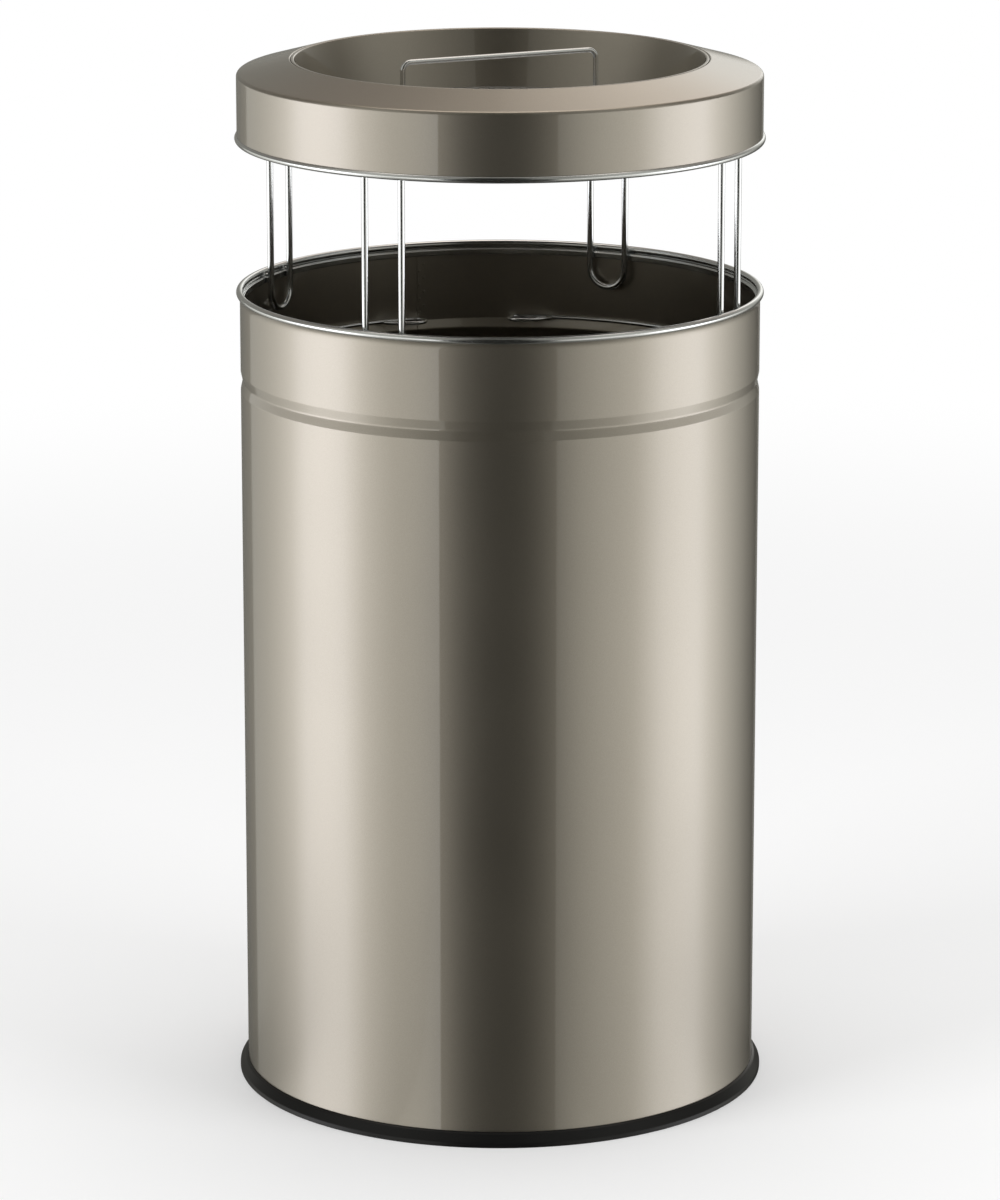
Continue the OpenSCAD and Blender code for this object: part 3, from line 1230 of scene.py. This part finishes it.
@dataclass
class BagHoop(Assembly):
    """The open hoop of spring wire that holds the bag, with a finger loop at each end."""

    wire: float = 0.003
    sides: int = 14
    right_azimuth: float = 85.8
    left_azimuth: float = 111.4
    loop_width: float = 0.016
    return_radius: float = 0.036
    return_turn: float = 43.2
    tip: float = 0.0012

    def build(self) -> None:
        """Bend the hoop from the tip of the left loop to the tip of the right one."""
        box = NodeBox.of("bag_ring")
        hoop = max(-box.low.x, -box.low.y) - self.wire / 2.0
        # The left loop is laid out at azimuth 0, as the right one's mirror image, and then turned.
        back_centre = OUTWARD * (hoop - self.loop_width + self.return_radius)
        radial = Matrix.Rotation(math.radians(180.0 - self.return_turn), 3, UP) @ OUTWARD
        place = Matrix.Rotation(math.radians(self.left_azimuth), 3, UP)
        start = place @ (back_centre + radial * self.return_radius) + UP * box.mid_height
        bender = WireBender("bag_hoop", self.wire, start, place @ UP.cross(radial), self.sides)
        bender.straight(self.tip).bend(self.return_radius, self.return_turn, UP)
        bender.bend(self.loop_width / 2.0, 180.0, UP)
        bender.bend(hoop, 360.0 - self.left_azimuth + self.right_azimuth, UP)
        bender.bend(self.loop_width / 2.0, 180.0, UP)
        bender.bend(self.return_radius, self.return_turn, UP).straight(self.tip)
        self.fit(bender.cut_off(), "bag_ring", Body.BAG_RING, Slot.WIRE)


@dataclass
class Head(SheetWork):
    """The head: its painted casing, rolled edge, carrier plate and four wire legs.

    The leg azimuth is the front right leg's, and the others stand at right angles to it. A leg's
    span is the distance between its two uprights.
    """

    hole_gap: float = 0.0003
    lip: float = 0.004
    crest_rounding: float = 0.001
    side_height: float = 0.052
    shoulder: float = 0.003
    plate: float = 0.0015
    plate_bend: float = 0.0020
    plate_root_rounding: float = 0.0005
    carrier_hole: float = 0.1382
    carrier_hole_rounding: float = 0.0004
    leg_wire: float = 0.005
    leg_span: float = 0.030
    leg_azimuth: float = -26.5
    leg_radius: float = 0.1903
    leg_sides: int = 20
    stud: float = 0.003
    stud_bite: float = 0.0004
    stud_tip: float = 0.1942
    stud_sides: int = 16
    weld_gap: float = 0.00002
    weld_neck: float = 0.0004
    weld_height: float = 0.0025
    weld_spread: float = 0.0012
    weld_belly: tuple[float, float] = (0.0010, 0.45)
    weld_rounding: float = 0.0006

    LEG_NODES: ClassVar[tuple[str, ...]] = (
        "leg_front_right", "leg_back_right", "leg_back_left", "leg_front_left",
    )

    @property
    def under(self) -> float:
        """Height of the carrier plate's underside."""
        return NodeBox.of("carrier_plate").high.z - self.plate

    def build(self) -> None:
        """Make and dress every piece of the head."""
        self.fit(self.make_casing(), "head_cover", Body.HEAD, Slot.PAINT)
        self.fit(self.make_edge(), "head_ring", Body.HEAD, Slot.RING)
        self.fit(self.make_plate(), "carrier_plate", Body.HEAD, Slot.SHEET)
        first = self.make_leg()
        for index, node in enumerate(self.LEG_NODES):
            leg = copy_of(first, f"{node}_wire", self.leg_azimuth + 90.0 * index)
            self.fit(leg, node, Body.HEAD, Slot.WIRE)
        bpy.data.objects.remove(first)
        self.fit(self.round_uprights(self.make_stud(), "seat_studs"), "rest_studs", Body.HEAD, Slot.WIRE)
        self.fit(self.round_uprights(self.make_weld(), "leg_weld_beads"), "leg_welds", Body.HEAD, Slot.WELD)

    def make_casing(self) -> Piece:
        """Make the casing: its side, its shoulder, its sloping top and the lip round the hole.

        Returns:
            The casing.
        """
        box = NodeBox.of("head_cover")
        outer, low, crest = box.radius, box.low.z, box.high.z
        hole = NodeBox.of("sand_bowl").radius + self.hole_gap
        side_top = NodeBox.of("head_ring").low.z + self.side_height
        run = outer - self.shoulder - hole - self.crest_rounding
        rise = (crest - self.crest_rounding) - (side_top - self.shoulder)
        tilt = math.asin((self.shoulder - self.crest_rounding) / math.hypot(rise, run))
        slope = math.atan2(rise, run) - tilt
        fall = math.tan(slope)
        # The slope's line passes one rounding above the middle of the crest's rounding.
        at_crest = crest - self.crest_rounding + self.crest_rounding / math.cos(slope)
        top_at_hole = at_crest + fall * self.crest_rounding
        top_at_side = at_crest - fall * (outer - hole - self.crest_rounding)
        drop = self.sheet / math.cos(slope)
        inner = outer - self.sheet
        lip_out = hole + self.sheet
        return turned("head_casing", [
            Corner(outer, low, self.fine_rounding),
            Corner(outer, top_at_side, self.shoulder),
            Corner(hole, top_at_hole, self.crest_rounding),
            Corner(hole, crest - self.lip, self.cut_rounding),
            Corner(lip_out, crest - self.lip, self.cut_rounding),
            Corner(lip_out, top_at_hole - fall * self.sheet - drop),
            Corner(inner, top_at_side + fall * self.sheet - drop, self.shoulder - self.sheet),
            Corner(inner, low, self.fine_rounding),
        ])

    def make_edge(self) -> Piece:
        """Make the rolled ring on the casing's lower edge, with the band inside it.

        Returns:
            The ring.
        """
        box = NodeBox.of("head_ring")
        side = NodeBox.of("head_cover").radius
        middle = box.low.z + self.roll / 2.0
        slot_out = side + self.fit_gap
        slot_in = side - self.sheet - self.fit_gap
        at_sheet, *bead = self.rolled_bead(side, box.radius, middle, 1.0)
        return turned("head_roll", [
            at_sheet,
            Corner(slot_out, middle),
            Corner(slot_in, middle),
            Corner(slot_in, box.high.z, self.fine_rounding),
            Corner(slot_in - self.band, box.high.z, self.fine_rounding),
            *reversed(bead),
        ])

    def make_plate(self) -> Piece:
        """Make the carrier plate, an open disc with its edge turned down.

        Returns:
            The plate.
        """
        box = NodeBox.of("carrier_plate")
        outer, inner = box.radius, box.radius - self.plate
        return turned("bowl_carrier", [
            Corner(self.carrier_hole, box.high.z, self.carrier_hole_rounding),
            Corner(outer, box.high.z, self.plate_bend),
            Corner(outer, box.low.z, self.cut_rounding),
            Corner(inner, box.low.z, self.cut_rounding),
            Corner(inner, self.under, self.plate_root_rounding),
            Corner(self.carrier_hole, self.under, self.carrier_hole_rounding),
        ])

    def make_leg(self) -> Piece:
        """Bend one leg at azimuth 0: down, round its foot and up again.

        Returns:
            The leg, to be copied to the four legs' places.
        """
        half = self.leg_span / 2.0
        plane = math.sqrt(self.leg_radius ** 2 - half ** 2)
        low = NodeBox.of("leg_front_left").low.z
        length = self.under - low - self.leg_wire / 2.0 - half
        start = Vector((plane, -half, self.under))
        bender = WireBender("leg", self.leg_wire, start, -UP, self.leg_sides)
        return bender.straight(length).bend(half, 180.0, OUTWARD).straight(length).cut_off()

    def round_uprights(self, first: Piece, name: str) -> Piece:
        """Copy a small piece to each of the eight uprights and join the copies.

        Args:
            first: The piece, made on an upright at azimuth 0.
            name: The joined piece's name.

        Returns:
            The joined piece.
        """
        spread = math.degrees(math.asin(self.leg_span / 2.0 / self.leg_radius))
        azimuths = [self.leg_azimuth + 90.0 * leg + side * spread for leg in range(4) for side in (-1.0, 1.0)]
        copies = [copy_of(first, f"{name}_{index}", azimuth) for index, azimuth in enumerate(azimuths)]
        bpy.data.objects.remove(first)
        return join_all(copies, name)

    def make_stud(self) -> Piece:
        """Make a stud on the outer side of an upright, with a rounded tip.

        Returns:
            The stud, on an upright at azimuth 0.
        """
        foot = self.leg_radius + self.leg_wire / 2.0 - self.stud_bite
        start = OUTWARD * foot + UP * NodeBox.of("rest_studs").mid_height
        wire = WireBender("stud", self.stud, start, OUTWARD, self.stud_sides)
        return wire.straight(self.stud_tip - foot).cut_off()

    def make_weld(self) -> Piece:
        """Make the weld bead round an upright, under the carrier plate.

        Returns:
            The bead, round an upright at azimuth 0.
        """
        upright = self.leg_wire / 2.0
        inner, neck, foot = (upright + width for width in (self.weld_gap, self.weld_neck, self.weld_spread))
        belly, share = self.weld_belly
        low = self.under - self.weld_height
        bead = turned("weld", [
            Corner(inner, self.under),
            Corner(foot, self.under, self.cut_rounding),
            Corner(upright + belly, self.under - self.weld_height * share, self.weld_rounding),
            Corner(neck, low, self.fine_rounding),
            Corner(inner, low),
        ], steps=self.leg_sides)
        set_in_place(bead, shift=OUTWARD * self.leg_radius)
        return bead


@dataclass
class Bowl(SheetWork):
    """The sand bowl that hangs in the head's hole."""

    well_bend: float = 0.004
    well_depth: float = 0.022
    well_radius: float = 0.1365
    ledge_radius: float = 0.143
    ledge_rounding: float = 0.0008
    ledge_root_rounding: float = 0.0006
    rim_width: float = 0.0024
    rim_bend: float = 0.0011
    rim_fall: float = 0.0002
    edge_rounding: float = 0.0004

    def build(self) -> None:
        """Turn the bowl: its well, the sieve's ledge, its leaning wall and its rim."""
        box = NodeBox.of("sand_bowl")
        crest, outer = box.high.z, box.radius
        floor = box.low.z + self.sheet
        ledge = floor + self.well_depth
        ledge_low = ledge - self.sheet
        rim_in = outer - self.rim_width
        rim_low = crest - 2.0 * self.sheet
        lean = (rim_in - self.ledge_radius) / (crest - ledge)
        well_out, ledge_out = self.well_radius + self.sheet, self.ledge_radius + self.sheet
        bowl = turned("ash_bowl", [
            Corner(0.0, floor),
            Corner(self.well_radius, floor, self.well_bend),
            Corner(self.well_radius, ledge, self.ledge_rounding),
            Corner(self.ledge_radius, ledge, self.ledge_root_rounding),
            Corner(rim_in, crest, self.rim_bend),
            Corner(outer, crest, self.edge_rounding),
            Corner(outer, rim_low, self.cut_rounding),
            Corner(rim_in + self.sheet, rim_low - self.rim_fall, self.fine_rounding),
            Corner(ledge_out + lean * self.sheet, ledge + self.sheet, self.ledge_rounding),
            Corner(ledge_out, ledge_low, self.ledge_root_rounding),
            Corner(well_out, ledge_low, self.edge_rounding),
            Corner(well_out, box.low.z, self.well_bend + self.sheet),
            Corner(0.0, box.low.z),
        ], closed=False)
        self.fit(bowl, "sand_bowl", Body.BOWL, Slot.PAINT)


@dataclass
class Sieve(SheetWork):
    """The sieve that lies in the bowl and the wire bow that lifts it."""

    hole: float = 0.006
    hole_burr: float = 0.0002
    hole_sides: int = 20
    first_ring: int = 6
    pitch: float = 0.012
    rings: int = 11
    wire: float = 0.004
    wire_sides: int = 18
    span: float = 0.160
    bend: float = 0.0065
    foot: float = 0.010
    azimuth: float = 25.2
    weld: float = 0.0064
    weld_sides: int = 24
    weld_belly: tuple[float, float] = (0.0005, 0.0009)
    weld_inset: float = 0.0002
    weld_rounding: float = 0.0006

    def build(self) -> None:
        """Make and dress the sieve's plate, its bow and the welds between them."""
        self.fit(self.make_plate(), "sieve_plate", Body.SIEVE, Slot.SHEET)
        self.fit(self.make_bow(), "sieve_handle", Body.SIEVE, Slot.WIRE)
        self.fit(self.make_welds(), "handle_welds", Body.SIEVE, Slot.WELD)

    def make_plate(self) -> Piece:
        """Turn the plate and punch its rings of holes.

        Returns:
            The perforated plate.
        """
        box = NodeBox.of("sieve_plate")
        plate = turned("sieve_disc", [
            Corner(0.0, box.high.z),
            Corner(box.radius, box.high.z, self.cut_rounding),
            Corner(box.radius, box.low.z, self.cut_rounding),
            Corner(0.0, box.low.z),
        ], closed=False)
        punch = self.make_punch(box)
        take_up(plate)
        cut = plate.modifiers.new("holes", "BOOLEAN")
        cut.operation = "DIFFERENCE"
        cut.solver = "EXACT"
        cut.object = punch
        bpy.ops.object.modifier_apply(modifier=cut.name)
        bpy.data.objects.remove(punch)
        return plate

    def make_punch(self, box: NodeBox) -> Piece:
        """Make the punch: a pin for each hole, a little wider where it meets the plate's faces.

        Args:
            box: The plate's box in the frame.

        Returns:
            All the pins as one piece.
        """
        half = (box.high.z - box.low.z) / 2.0
        narrow = self.hole / 2.0
        wide = narrow + self.hole_burr + half
        flared, even = half + self.hole_burr, 2.0 * (half - self.hole_burr)
        rows = []
        for ring in range(1, self.rings + 1):
            clear_selection()
            place = Vector((ring * self.pitch, 0.0, box.mid_height - 2.0 * half))
            bpy.ops.mesh.primitive_circle_add(
                vertices=self.hole_sides, radius=wide, fill_type="NGON", location=place
            )
            row = new_piece(f"punch_{ring}")
            radius = wide
            for climb, wanted in ((flared, narrow), (even, narrow), (flared, wide)):
                push_on(UP * climb)
                place.z += climb
                scale = wanted / radius
                bpy.ops.transform.resize(value=(scale, scale, 1.0), center_override=place)
                radius = wanted
            bpy.ops.mesh.select_all(action="SELECT")
            bpy.ops.mesh.normals_make_consistent(inside=False)
            holes = self.first_ring * ring
            spin_on(math.tau * (holes - 1) / holes, holes - 1, copies=True)
            bpy.ops.object.mode_set(mode="OBJECT")
            rows.append(row)
        return join_all(rows, "punch")

    def make_bow(self) -> Piece:
        """Bend the bow from one foot to the other.

        Returns:
            The bow, turned as it lies in the bowl.
        """
        box = NodeBox.of("sieve_handle")
        corner = self.span / 2.0 - self.bend
        rise = box.high.z - box.low.z - self.wire - 2.0 * self.bend
        axis = OUTWARD.cross(UP)
        start = Vector((corner - self.foot, 0.0, box.low.z + self.wire / 2.0))
        bender = WireBender("sieve_bow", self.wire, start, OUTWARD, self.wire_sides)
        bender.straight(self.foot).bend(self.bend, 90.0, axis).straight(rise).bend(self.bend, 90.0, axis)
        bender.straight(2.0 * corner)
        bender.bend(self.bend, 90.0, axis).straight(rise).bend(self.bend, 90.0, axis).straight(self.foot)
        bow = bender.cut_off()
        set_in_place(bow, self.azimuth)
        return bow

    def make_welds(self) -> Piece:
        """Make the weld under each foot of the bow, and join both.

        Returns:
            Both welds as one piece.
        """
        low = NodeBox.of("sieve_plate").high.z
        high = low + self.wire / 2.0
        belly_in, belly_height = self.weld_belly
        bead = turned("bow_weld", [
            Corner(0.0, low),
            Corner(self.weld / 2.0, low, self.fine_rounding),
            Corner(self.weld / 2.0 - belly_in, low + belly_height, self.weld_rounding),
            Corner(self.wire / 2.0 - self.weld_inset, high, self.cut_rounding),
            Corner(0.0, high),
        ], closed=False, steps=self.weld_sides)
        reach = OUTWARD * (self.span / 2.0 - self.bend - self.foot / 2.0)
        beads = [copy_of(bead, f"bow_weld_{end}", shift=end * reach) for end in (-1, 1)]
        bpy.data.objects.remove(bead)
        welds = join_all(beads, "bow_weld_beads")
        set_in_place(welds, self.azimuth)
        return welds


# The studio


class GlowStop(NamedTuple):
    """How bright the room is at one angle, in degrees.

    An azimuth is 0 at the front and positive to the right, a climb is 0 at the horizon and
    positive upwards.
    """

    angle: float
    level: float


class Lamp(NamedTuple):
    """A soft, square lamp: its name, its place, the side of its face and its power in watts."""

    name: str
    place: tuple[float, float, float]
    size: float
    power: float


@dataclass
class Studio:
    """The plain room: a pale floor, soft lamps, a tent of cards for gloss to show, and the camera.

    The cards' levels are listed by azimuth, below the horizon in low_glow and above it in
    high_glow, and low_climbs says how much of the low ones is left at each climb. A split is
    the range of climbs in which one level passes into the next. Angles are in degrees.
    """

    camera_place: Vector = field(default_factory=lambda: Vector((0.0, -4.052, 1.391)))
    camera_pitch: float = 14.11
    lens: float = 163.1
    sensor: float = 36.0
    lamps: tuple[Lamp, ...] = (
        Lamp("left_lamp", (-2.4, -1.6, 2.4), 1.6, 34.0),
        Lamp("right_lamp", (2.4, -1.4, 2.2), 1.6, 26.0),
        Lamp("top_lamp", (0.3, 0.8, 3.2), 2.0, 22.0),
    )
    mid_height: float = 0.4
    floor_radius: float = 16.0
    floor_sides: int = 96
    floor_tone: float = 0.80
    floor_lift: float = 0.17
    floor_fade: tuple[float, float] = (1.0, 2.6)
    ambient: float = 0.60
    tent_radius: float = 40.0
    tent_sides: tuple[int, int] = (96, 48)
    glow_peak: float = 3.0
    low_glow: tuple[GlowStop, ...] = (
        GlowStop(-180.0, 0.16), GlowStop(-146.0, 0.16), GlowStop(-144.5, 0.50), GlowStop(-128.0, 0.62),
        GlowStop(-116.0, 0.82), GlowStop(-106.0, 1.10), GlowStop(-96.0, 2.00), GlowStop(-74.0, 2.20),
        GlowStop(-62.0, 1.08), GlowStop(-47.0, 0.77), GlowStop(-35.0, 0.96), GlowStop(-26.0, 1.30),
        GlowStop(24.0, 0.50), GlowStop(47.0, 0.78), GlowStop(62.0, 0.79), GlowStop(76.0, 1.68),
        GlowStop(98.0, 2.00), GlowStop(108.0, 1.18), GlowStop(118.0, 0.77), GlowStop(130.0, 0.46),
        GlowStop(145.0, 0.17), GlowStop(158.0, 0.07), GlowStop(163.0, 0.07), GlowStop(165.0, 0.22),
        GlowStop(180.0, 0.16),
    )
    high_glow: tuple[GlowStop, ...] = (
        GlowStop(-180.0, 0.37), GlowStop(-172.0, 0.23), GlowStop(-150.0, 0.22), GlowStop(-104.0, 0.18),
        GlowStop(-80.0, 0.45), GlowStop(-61.0, 0.46), GlowStop(-31.0, 0.27), GlowStop(31.0, 0.25),
        GlowStop(61.0, 0.44), GlowStop(80.0, 0.45), GlowStop(106.0, 0.18), GlowStop(150.0, 0.42),
        GlowStop(168.0, 1.28), GlowStop(180.0, 0.42),
    )
    low_climbs: tuple[GlowStop, ...] = (
        GlowStop(-75.0, 0.10), GlowStop(-58.0, 0.20), GlowStop(-38.0, 0.51), GlowStop(-25.0, 0.93),
        GlowStop(-14.0, 1.00), GlowStop(-9.0, 1.08), GlowStop(-5.0, 1.40), GlowStop(2.0, 1.40),
    )
    high_split: tuple[float, float] = (-4.0, 5.0)
    top_split: tuple[float, float] = (54.0, 68.0)
    top_front_level: float = 0.12
    top_back_level: float = 1.6
    top_turn: tuple[float, float] = (-0.12, 0.12)
    front_flag: tuple[float, float] = (-26.6, 24.8)
    flag_level: float = 0.02
    flag_softness: float = 0.2
    flag_taper: tuple[float, float] = (4.0, 16.0)
    flag_top_half: float = 16.0
    dim_tint: Colour = (1.0, 0.98, 0.87)
    bright_tint: Colour = (1.0, 0.995, 1.03)
    tint_range: tuple[float, float] = (0.0, 2.4)
    warm_tint: Colour = (1.0, 0.905, 0.81)
    warm_side: tuple[float, float] = (70.0, 120.0)
    warm_climb: tuple[float, float] = (14.0, 34.0)
    # Painted shadow on the floor as gloss sees it: the distances over which it fades out, and its depth at
    # the near one.
    painted_shadow_reach: tuple[float, float] = (0.20, 1.30)
    painted_shadow_depth: float = 0.20

    def build(self) -> None:
        """Set up the camera, the world, the floor, the tent and the lamps."""
        self.make_camera()
        self.make_world()
        glow = self.room_glow()
        self.make_floor(glow)
        self.make_tent(glow)
        for lamp in self.lamps:
            self.hang(lamp)
        bpy.context.scene.view_settings.view_transform = "Standard"

    def make_camera(self) -> None:
        """Set the camera at the photograph's viewing angle."""
        clear_selection()
        tilt = math.radians(90.0 - self.camera_pitch)
        bpy.ops.object.camera_add(location=self.camera_place, rotation=(tilt, 0.0, 0.0))
        camera = bpy.context.active_object
        camera.name = "camera"
        camera.data.sensor_width = self.sensor
        camera.data.lens = self.lens
        bpy.context.scene.camera = camera

    def hang(self, lamp: Lamp) -> None:
        """Hang a lamp that looks at the middle of the bin and that gloss doesn't show.

        Args:
            lamp: The lamp.
        """
        clear_selection()
        aim = UP * self.mid_height - Vector(lamp.place)
        turn = aim.to_track_quat("-Z", "Y").to_euler()
        bpy.ops.object.light_add(type="AREA", location=lamp.place, rotation=turn)
        light = bpy.context.active_object
        light.name = lamp.name
        light.data.size = lamp.size
        light.data.energy = lamp.power
        light.visible_glossy = False

    def glow_ramp(self, book: NodeBook, angle: Socket, stops: Sequence[GlowStop], reach: float) -> Socket:
        """Turn a list of angles and levels into a level for each angle.

        Args:
            book: The tree to write in.
            angle: The angle's socket, in degrees.
            stops: The levels by angle.
            reach: The largest angle, either way.

        Returns:
            The level.
        """
        node = book.add("ShaderNodeValToRGB", {0: book.spread(angle, -reach, reach, 0.0, 1.0)})
        ramp = node.color_ramp
        for index, stop in enumerate(stops):
            position = 0.5 + stop.angle / reach / 2.0
            element = ramp.elements[index] if index < 2 else ramp.elements.new(position)
            element.position = position
            element.color = (*(stop.level / self.glow_peak,) * 3, 1.0)
        return book.calc("MULTIPLY", node.outputs["Color"], self.glow_peak)

    def room_glow(self) -> NodeTree:
        """Build the group that says how bright and how warm the room is in the direction of a place.

        Returns:
            The group, whose outputs are the level and the warmth.
        """

        def write(book: NodeBook, given: Node, result: Node) -> None:
            """Read the cards by azimuth and by climb, and put the front flag before them.

            Args:
                book: The group's tree.
                given: The node with its inputs, of which it has none.
                result: The node with its outputs.
            """
            way = book.add("ShaderNodeVectorMath", {0: book.own_place()}, operation="NORMALIZE").outputs[0]
            axes = book.add("ShaderNodeSeparateXYZ", {"Vector": way}).outputs
            front = book.calc("MULTIPLY", axes["Y"], -1.0)
            azimuth = book.calc("DEGREES", book.calc("ARCTAN2", axes["X"], front))
            climb = book.calc("DEGREES", book.calc("ARCSINE", axes["Z"]))
            fade = self.glow_ramp(book, climb, self.low_climbs, 90.0)
            low = book.calc("MULTIPLY", self.glow_ramp(book, azimuth, self.low_glow, 180.0), fade)
            high = self.glow_ramp(book, azimuth, self.high_glow, 180.0)
            cards = book.spread(climb, *self.high_split, low, high, smooth=True)
            left, right = self.front_flag
            aside = book.calc("ABSOLUTE", book.calc("SUBTRACT", azimuth, (left + right) / 2.0))
            edge = book.spread(climb, *self.flag_taper, (right - left) / 2.0, self.flag_top_half)
            beyond = book.calc("SUBTRACT", aside, edge)
            around = book.spread(beyond, -self.flag_softness, self.flag_softness, self.flag_level, cards)
            top = book.spread(front, *self.top_turn, self.top_back_level, self.top_front_level, smooth=True)
            level = book.spread(climb, *self.top_split, around, top, smooth=True)
            book.put(result, "Level", level)
            behind = book.spread(book.calc("ABSOLUTE", azimuth), *self.warm_side, 0.0, 1.0, smooth=True)
            warmth = book.spread(climb, *self.warm_climb, 0.0, behind, smooth=True)
            book.put(result, "Warmth", warmth)

        return Effect.group("room_glow", {}, ["Level", "Warmth"], write)

    def make_world(self) -> None:
        """Make the room white to the camera, to gloss and through glass, and its ambient light even."""
        world = bpy.data.worlds.new("room")
        bpy.context.scene.world = world
        book = NodeBook.on(world)
        ray = book.add("ShaderNodeLightPath").outputs
        through = book.calc("MAXIMUM", ray["Is Glossy Ray"], ray["Is Transmission Ray"])
        seen = book.calc("MAXIMUM", ray["Is Camera Ray"], through)
        strength = book.spread(seen, 0.0, 1.0, self.ambient, 1.0)
        shader = book.add("ShaderNodeBackground", {"Color": (1.0, 1.0, 1.0, 1.0), "Strength": strength})
        book.add("ShaderNodeOutputWorld", {"Surface": shader.outputs[0]})

    @staticmethod
    def stage_material(name: str) -> tuple[Material, NodeBook]:
        """Start a material for a piece of the stage.

        Args:
            name: The material's name.

        Returns:
            The material and its empty tree.
        """
        material = bpy.data.materials.new(name)
        material.cycles.emission_sampling = "NONE"
        return material, NodeBook.on(material)

    def make_tent(self, glow: NodeTree) -> None:
        """Hang the tent of bright and dark cards that only gloss shows.

        Args:
            glow: The group that gives the room's level.
        """
        clear_selection()
        around, upwards = self.tent_sides
        bpy.ops.mesh.primitive_uv_sphere_add(
            segments=around, ring_count=upwards, radius=self.tent_radius, location=UP * self.mid_height
        )
        tent = bpy.context.active_object
        tent.name = "tent"
        material, book = self.stage_material("tent_cards")
        room = book.add_group(glow)
        level = room.outputs["Level"]
        plain = book.blend(book.spread(level, *self.tint_range, 0.0, 1.0), self.dim_tint, self.bright_tint)
        tint = book.blend(room.outputs["Warmth"], plain, self.warm_tint)
        cards = book.add("ShaderNodeEmission", {"Color": tint, "Strength": level})
        book.add("ShaderNodeOutputMaterial", {"Surface": cards.outputs[0]})
        tent.data.materials.append(material)
        tent.visible_camera = tent.visible_diffuse = tent.visible_shadow = tent.visible_transmission = False

    def make_floor(self, glow: NodeTree) -> None:
        """Make the pale floor, which fades into the white room and keeps the bin's soft shadow.

        Gloss shows the tent's lower half in it, with the bright cards dimmed near the bin: a painted shadow
        of the bin, strongest where the cards are brightest.

        Args:
            glow: The group that gives the room's level.
        """
        clear_selection()
        bpy.ops.mesh.primitive_circle_add(
            vertices=self.floor_sides, radius=self.floor_radius, fill_type="NGON"
        )
        floor = bpy.context.active_object
        floor.name = "floor"
        material, book = self.stage_material("pale_floor")
        length = book.add("ShaderNodeVectorMath", {0: book.own_place()}, operation="LENGTH")
        distance = length.outputs["Value"]
        far = book.spread(distance, *self.floor_fade, 0.0, 1.0, smooth=True)
        matt = book.add("ShaderNodeBsdfDiffuse", {"Color": (*(self.floor_tone,) * 3, 1.0)})
        lift = book.add("ShaderNodeEmission", {"Strength": self.floor_lift})
        near = book.add("ShaderNodeAddShader", {0: matt.outputs[0], 1: lift.outputs[0]})
        white = book.add("ShaderNodeEmission", {"Strength": 1.0})
        shown = book.add("ShaderNodeMixShader", {0: far, 1: near.outputs[0], 2: white.outputs[0]})
        # Painted shadow: gloss sees the floor darker near the bin, most under the bright cards, in place of
        # the bin's own shadow in its reflections.
        painted_shadow = book.spread(distance, *self.painted_shadow_reach, self.painted_shadow_depth, 0.0, smooth=True)
        level = book.add_group(glow).outputs["Level"]
        kept = book.calc("SUBTRACT", 1.0, book.calc("MULTIPLY", level, painted_shadow))
        gloss = book.add("ShaderNodeBsdfTransparent", {"Color": kept})
        glossy = book.add("ShaderNodeLightPath").outputs["Is Glossy Ray"]
        mixed = book.add("ShaderNodeMixShader", {0: glossy, 1: shown.outputs[0], 2: gloss.outputs[0]})
        book.add("ShaderNodeOutputMaterial", {"Surface": mixed.outputs[0]})
        floor.data.materials.append(material)


def main() -> None:
    """Load the frame, set up the studio and make every piece."""
    logging.basicConfig(level=logging.INFO, format="%(asctime)s %(name)s: %(message)s")
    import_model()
    Studio().build()
    materials = {finish.slot: finish.build() for finish in FINISHES}
    for assembly in (Can, BagHoop, Head, Bowl, Sieve):
        LOG.info("making %s", assembly.__name__)
        assembly(materials).build()
    clear_selection()


if __name__ == "__main__":
    main()
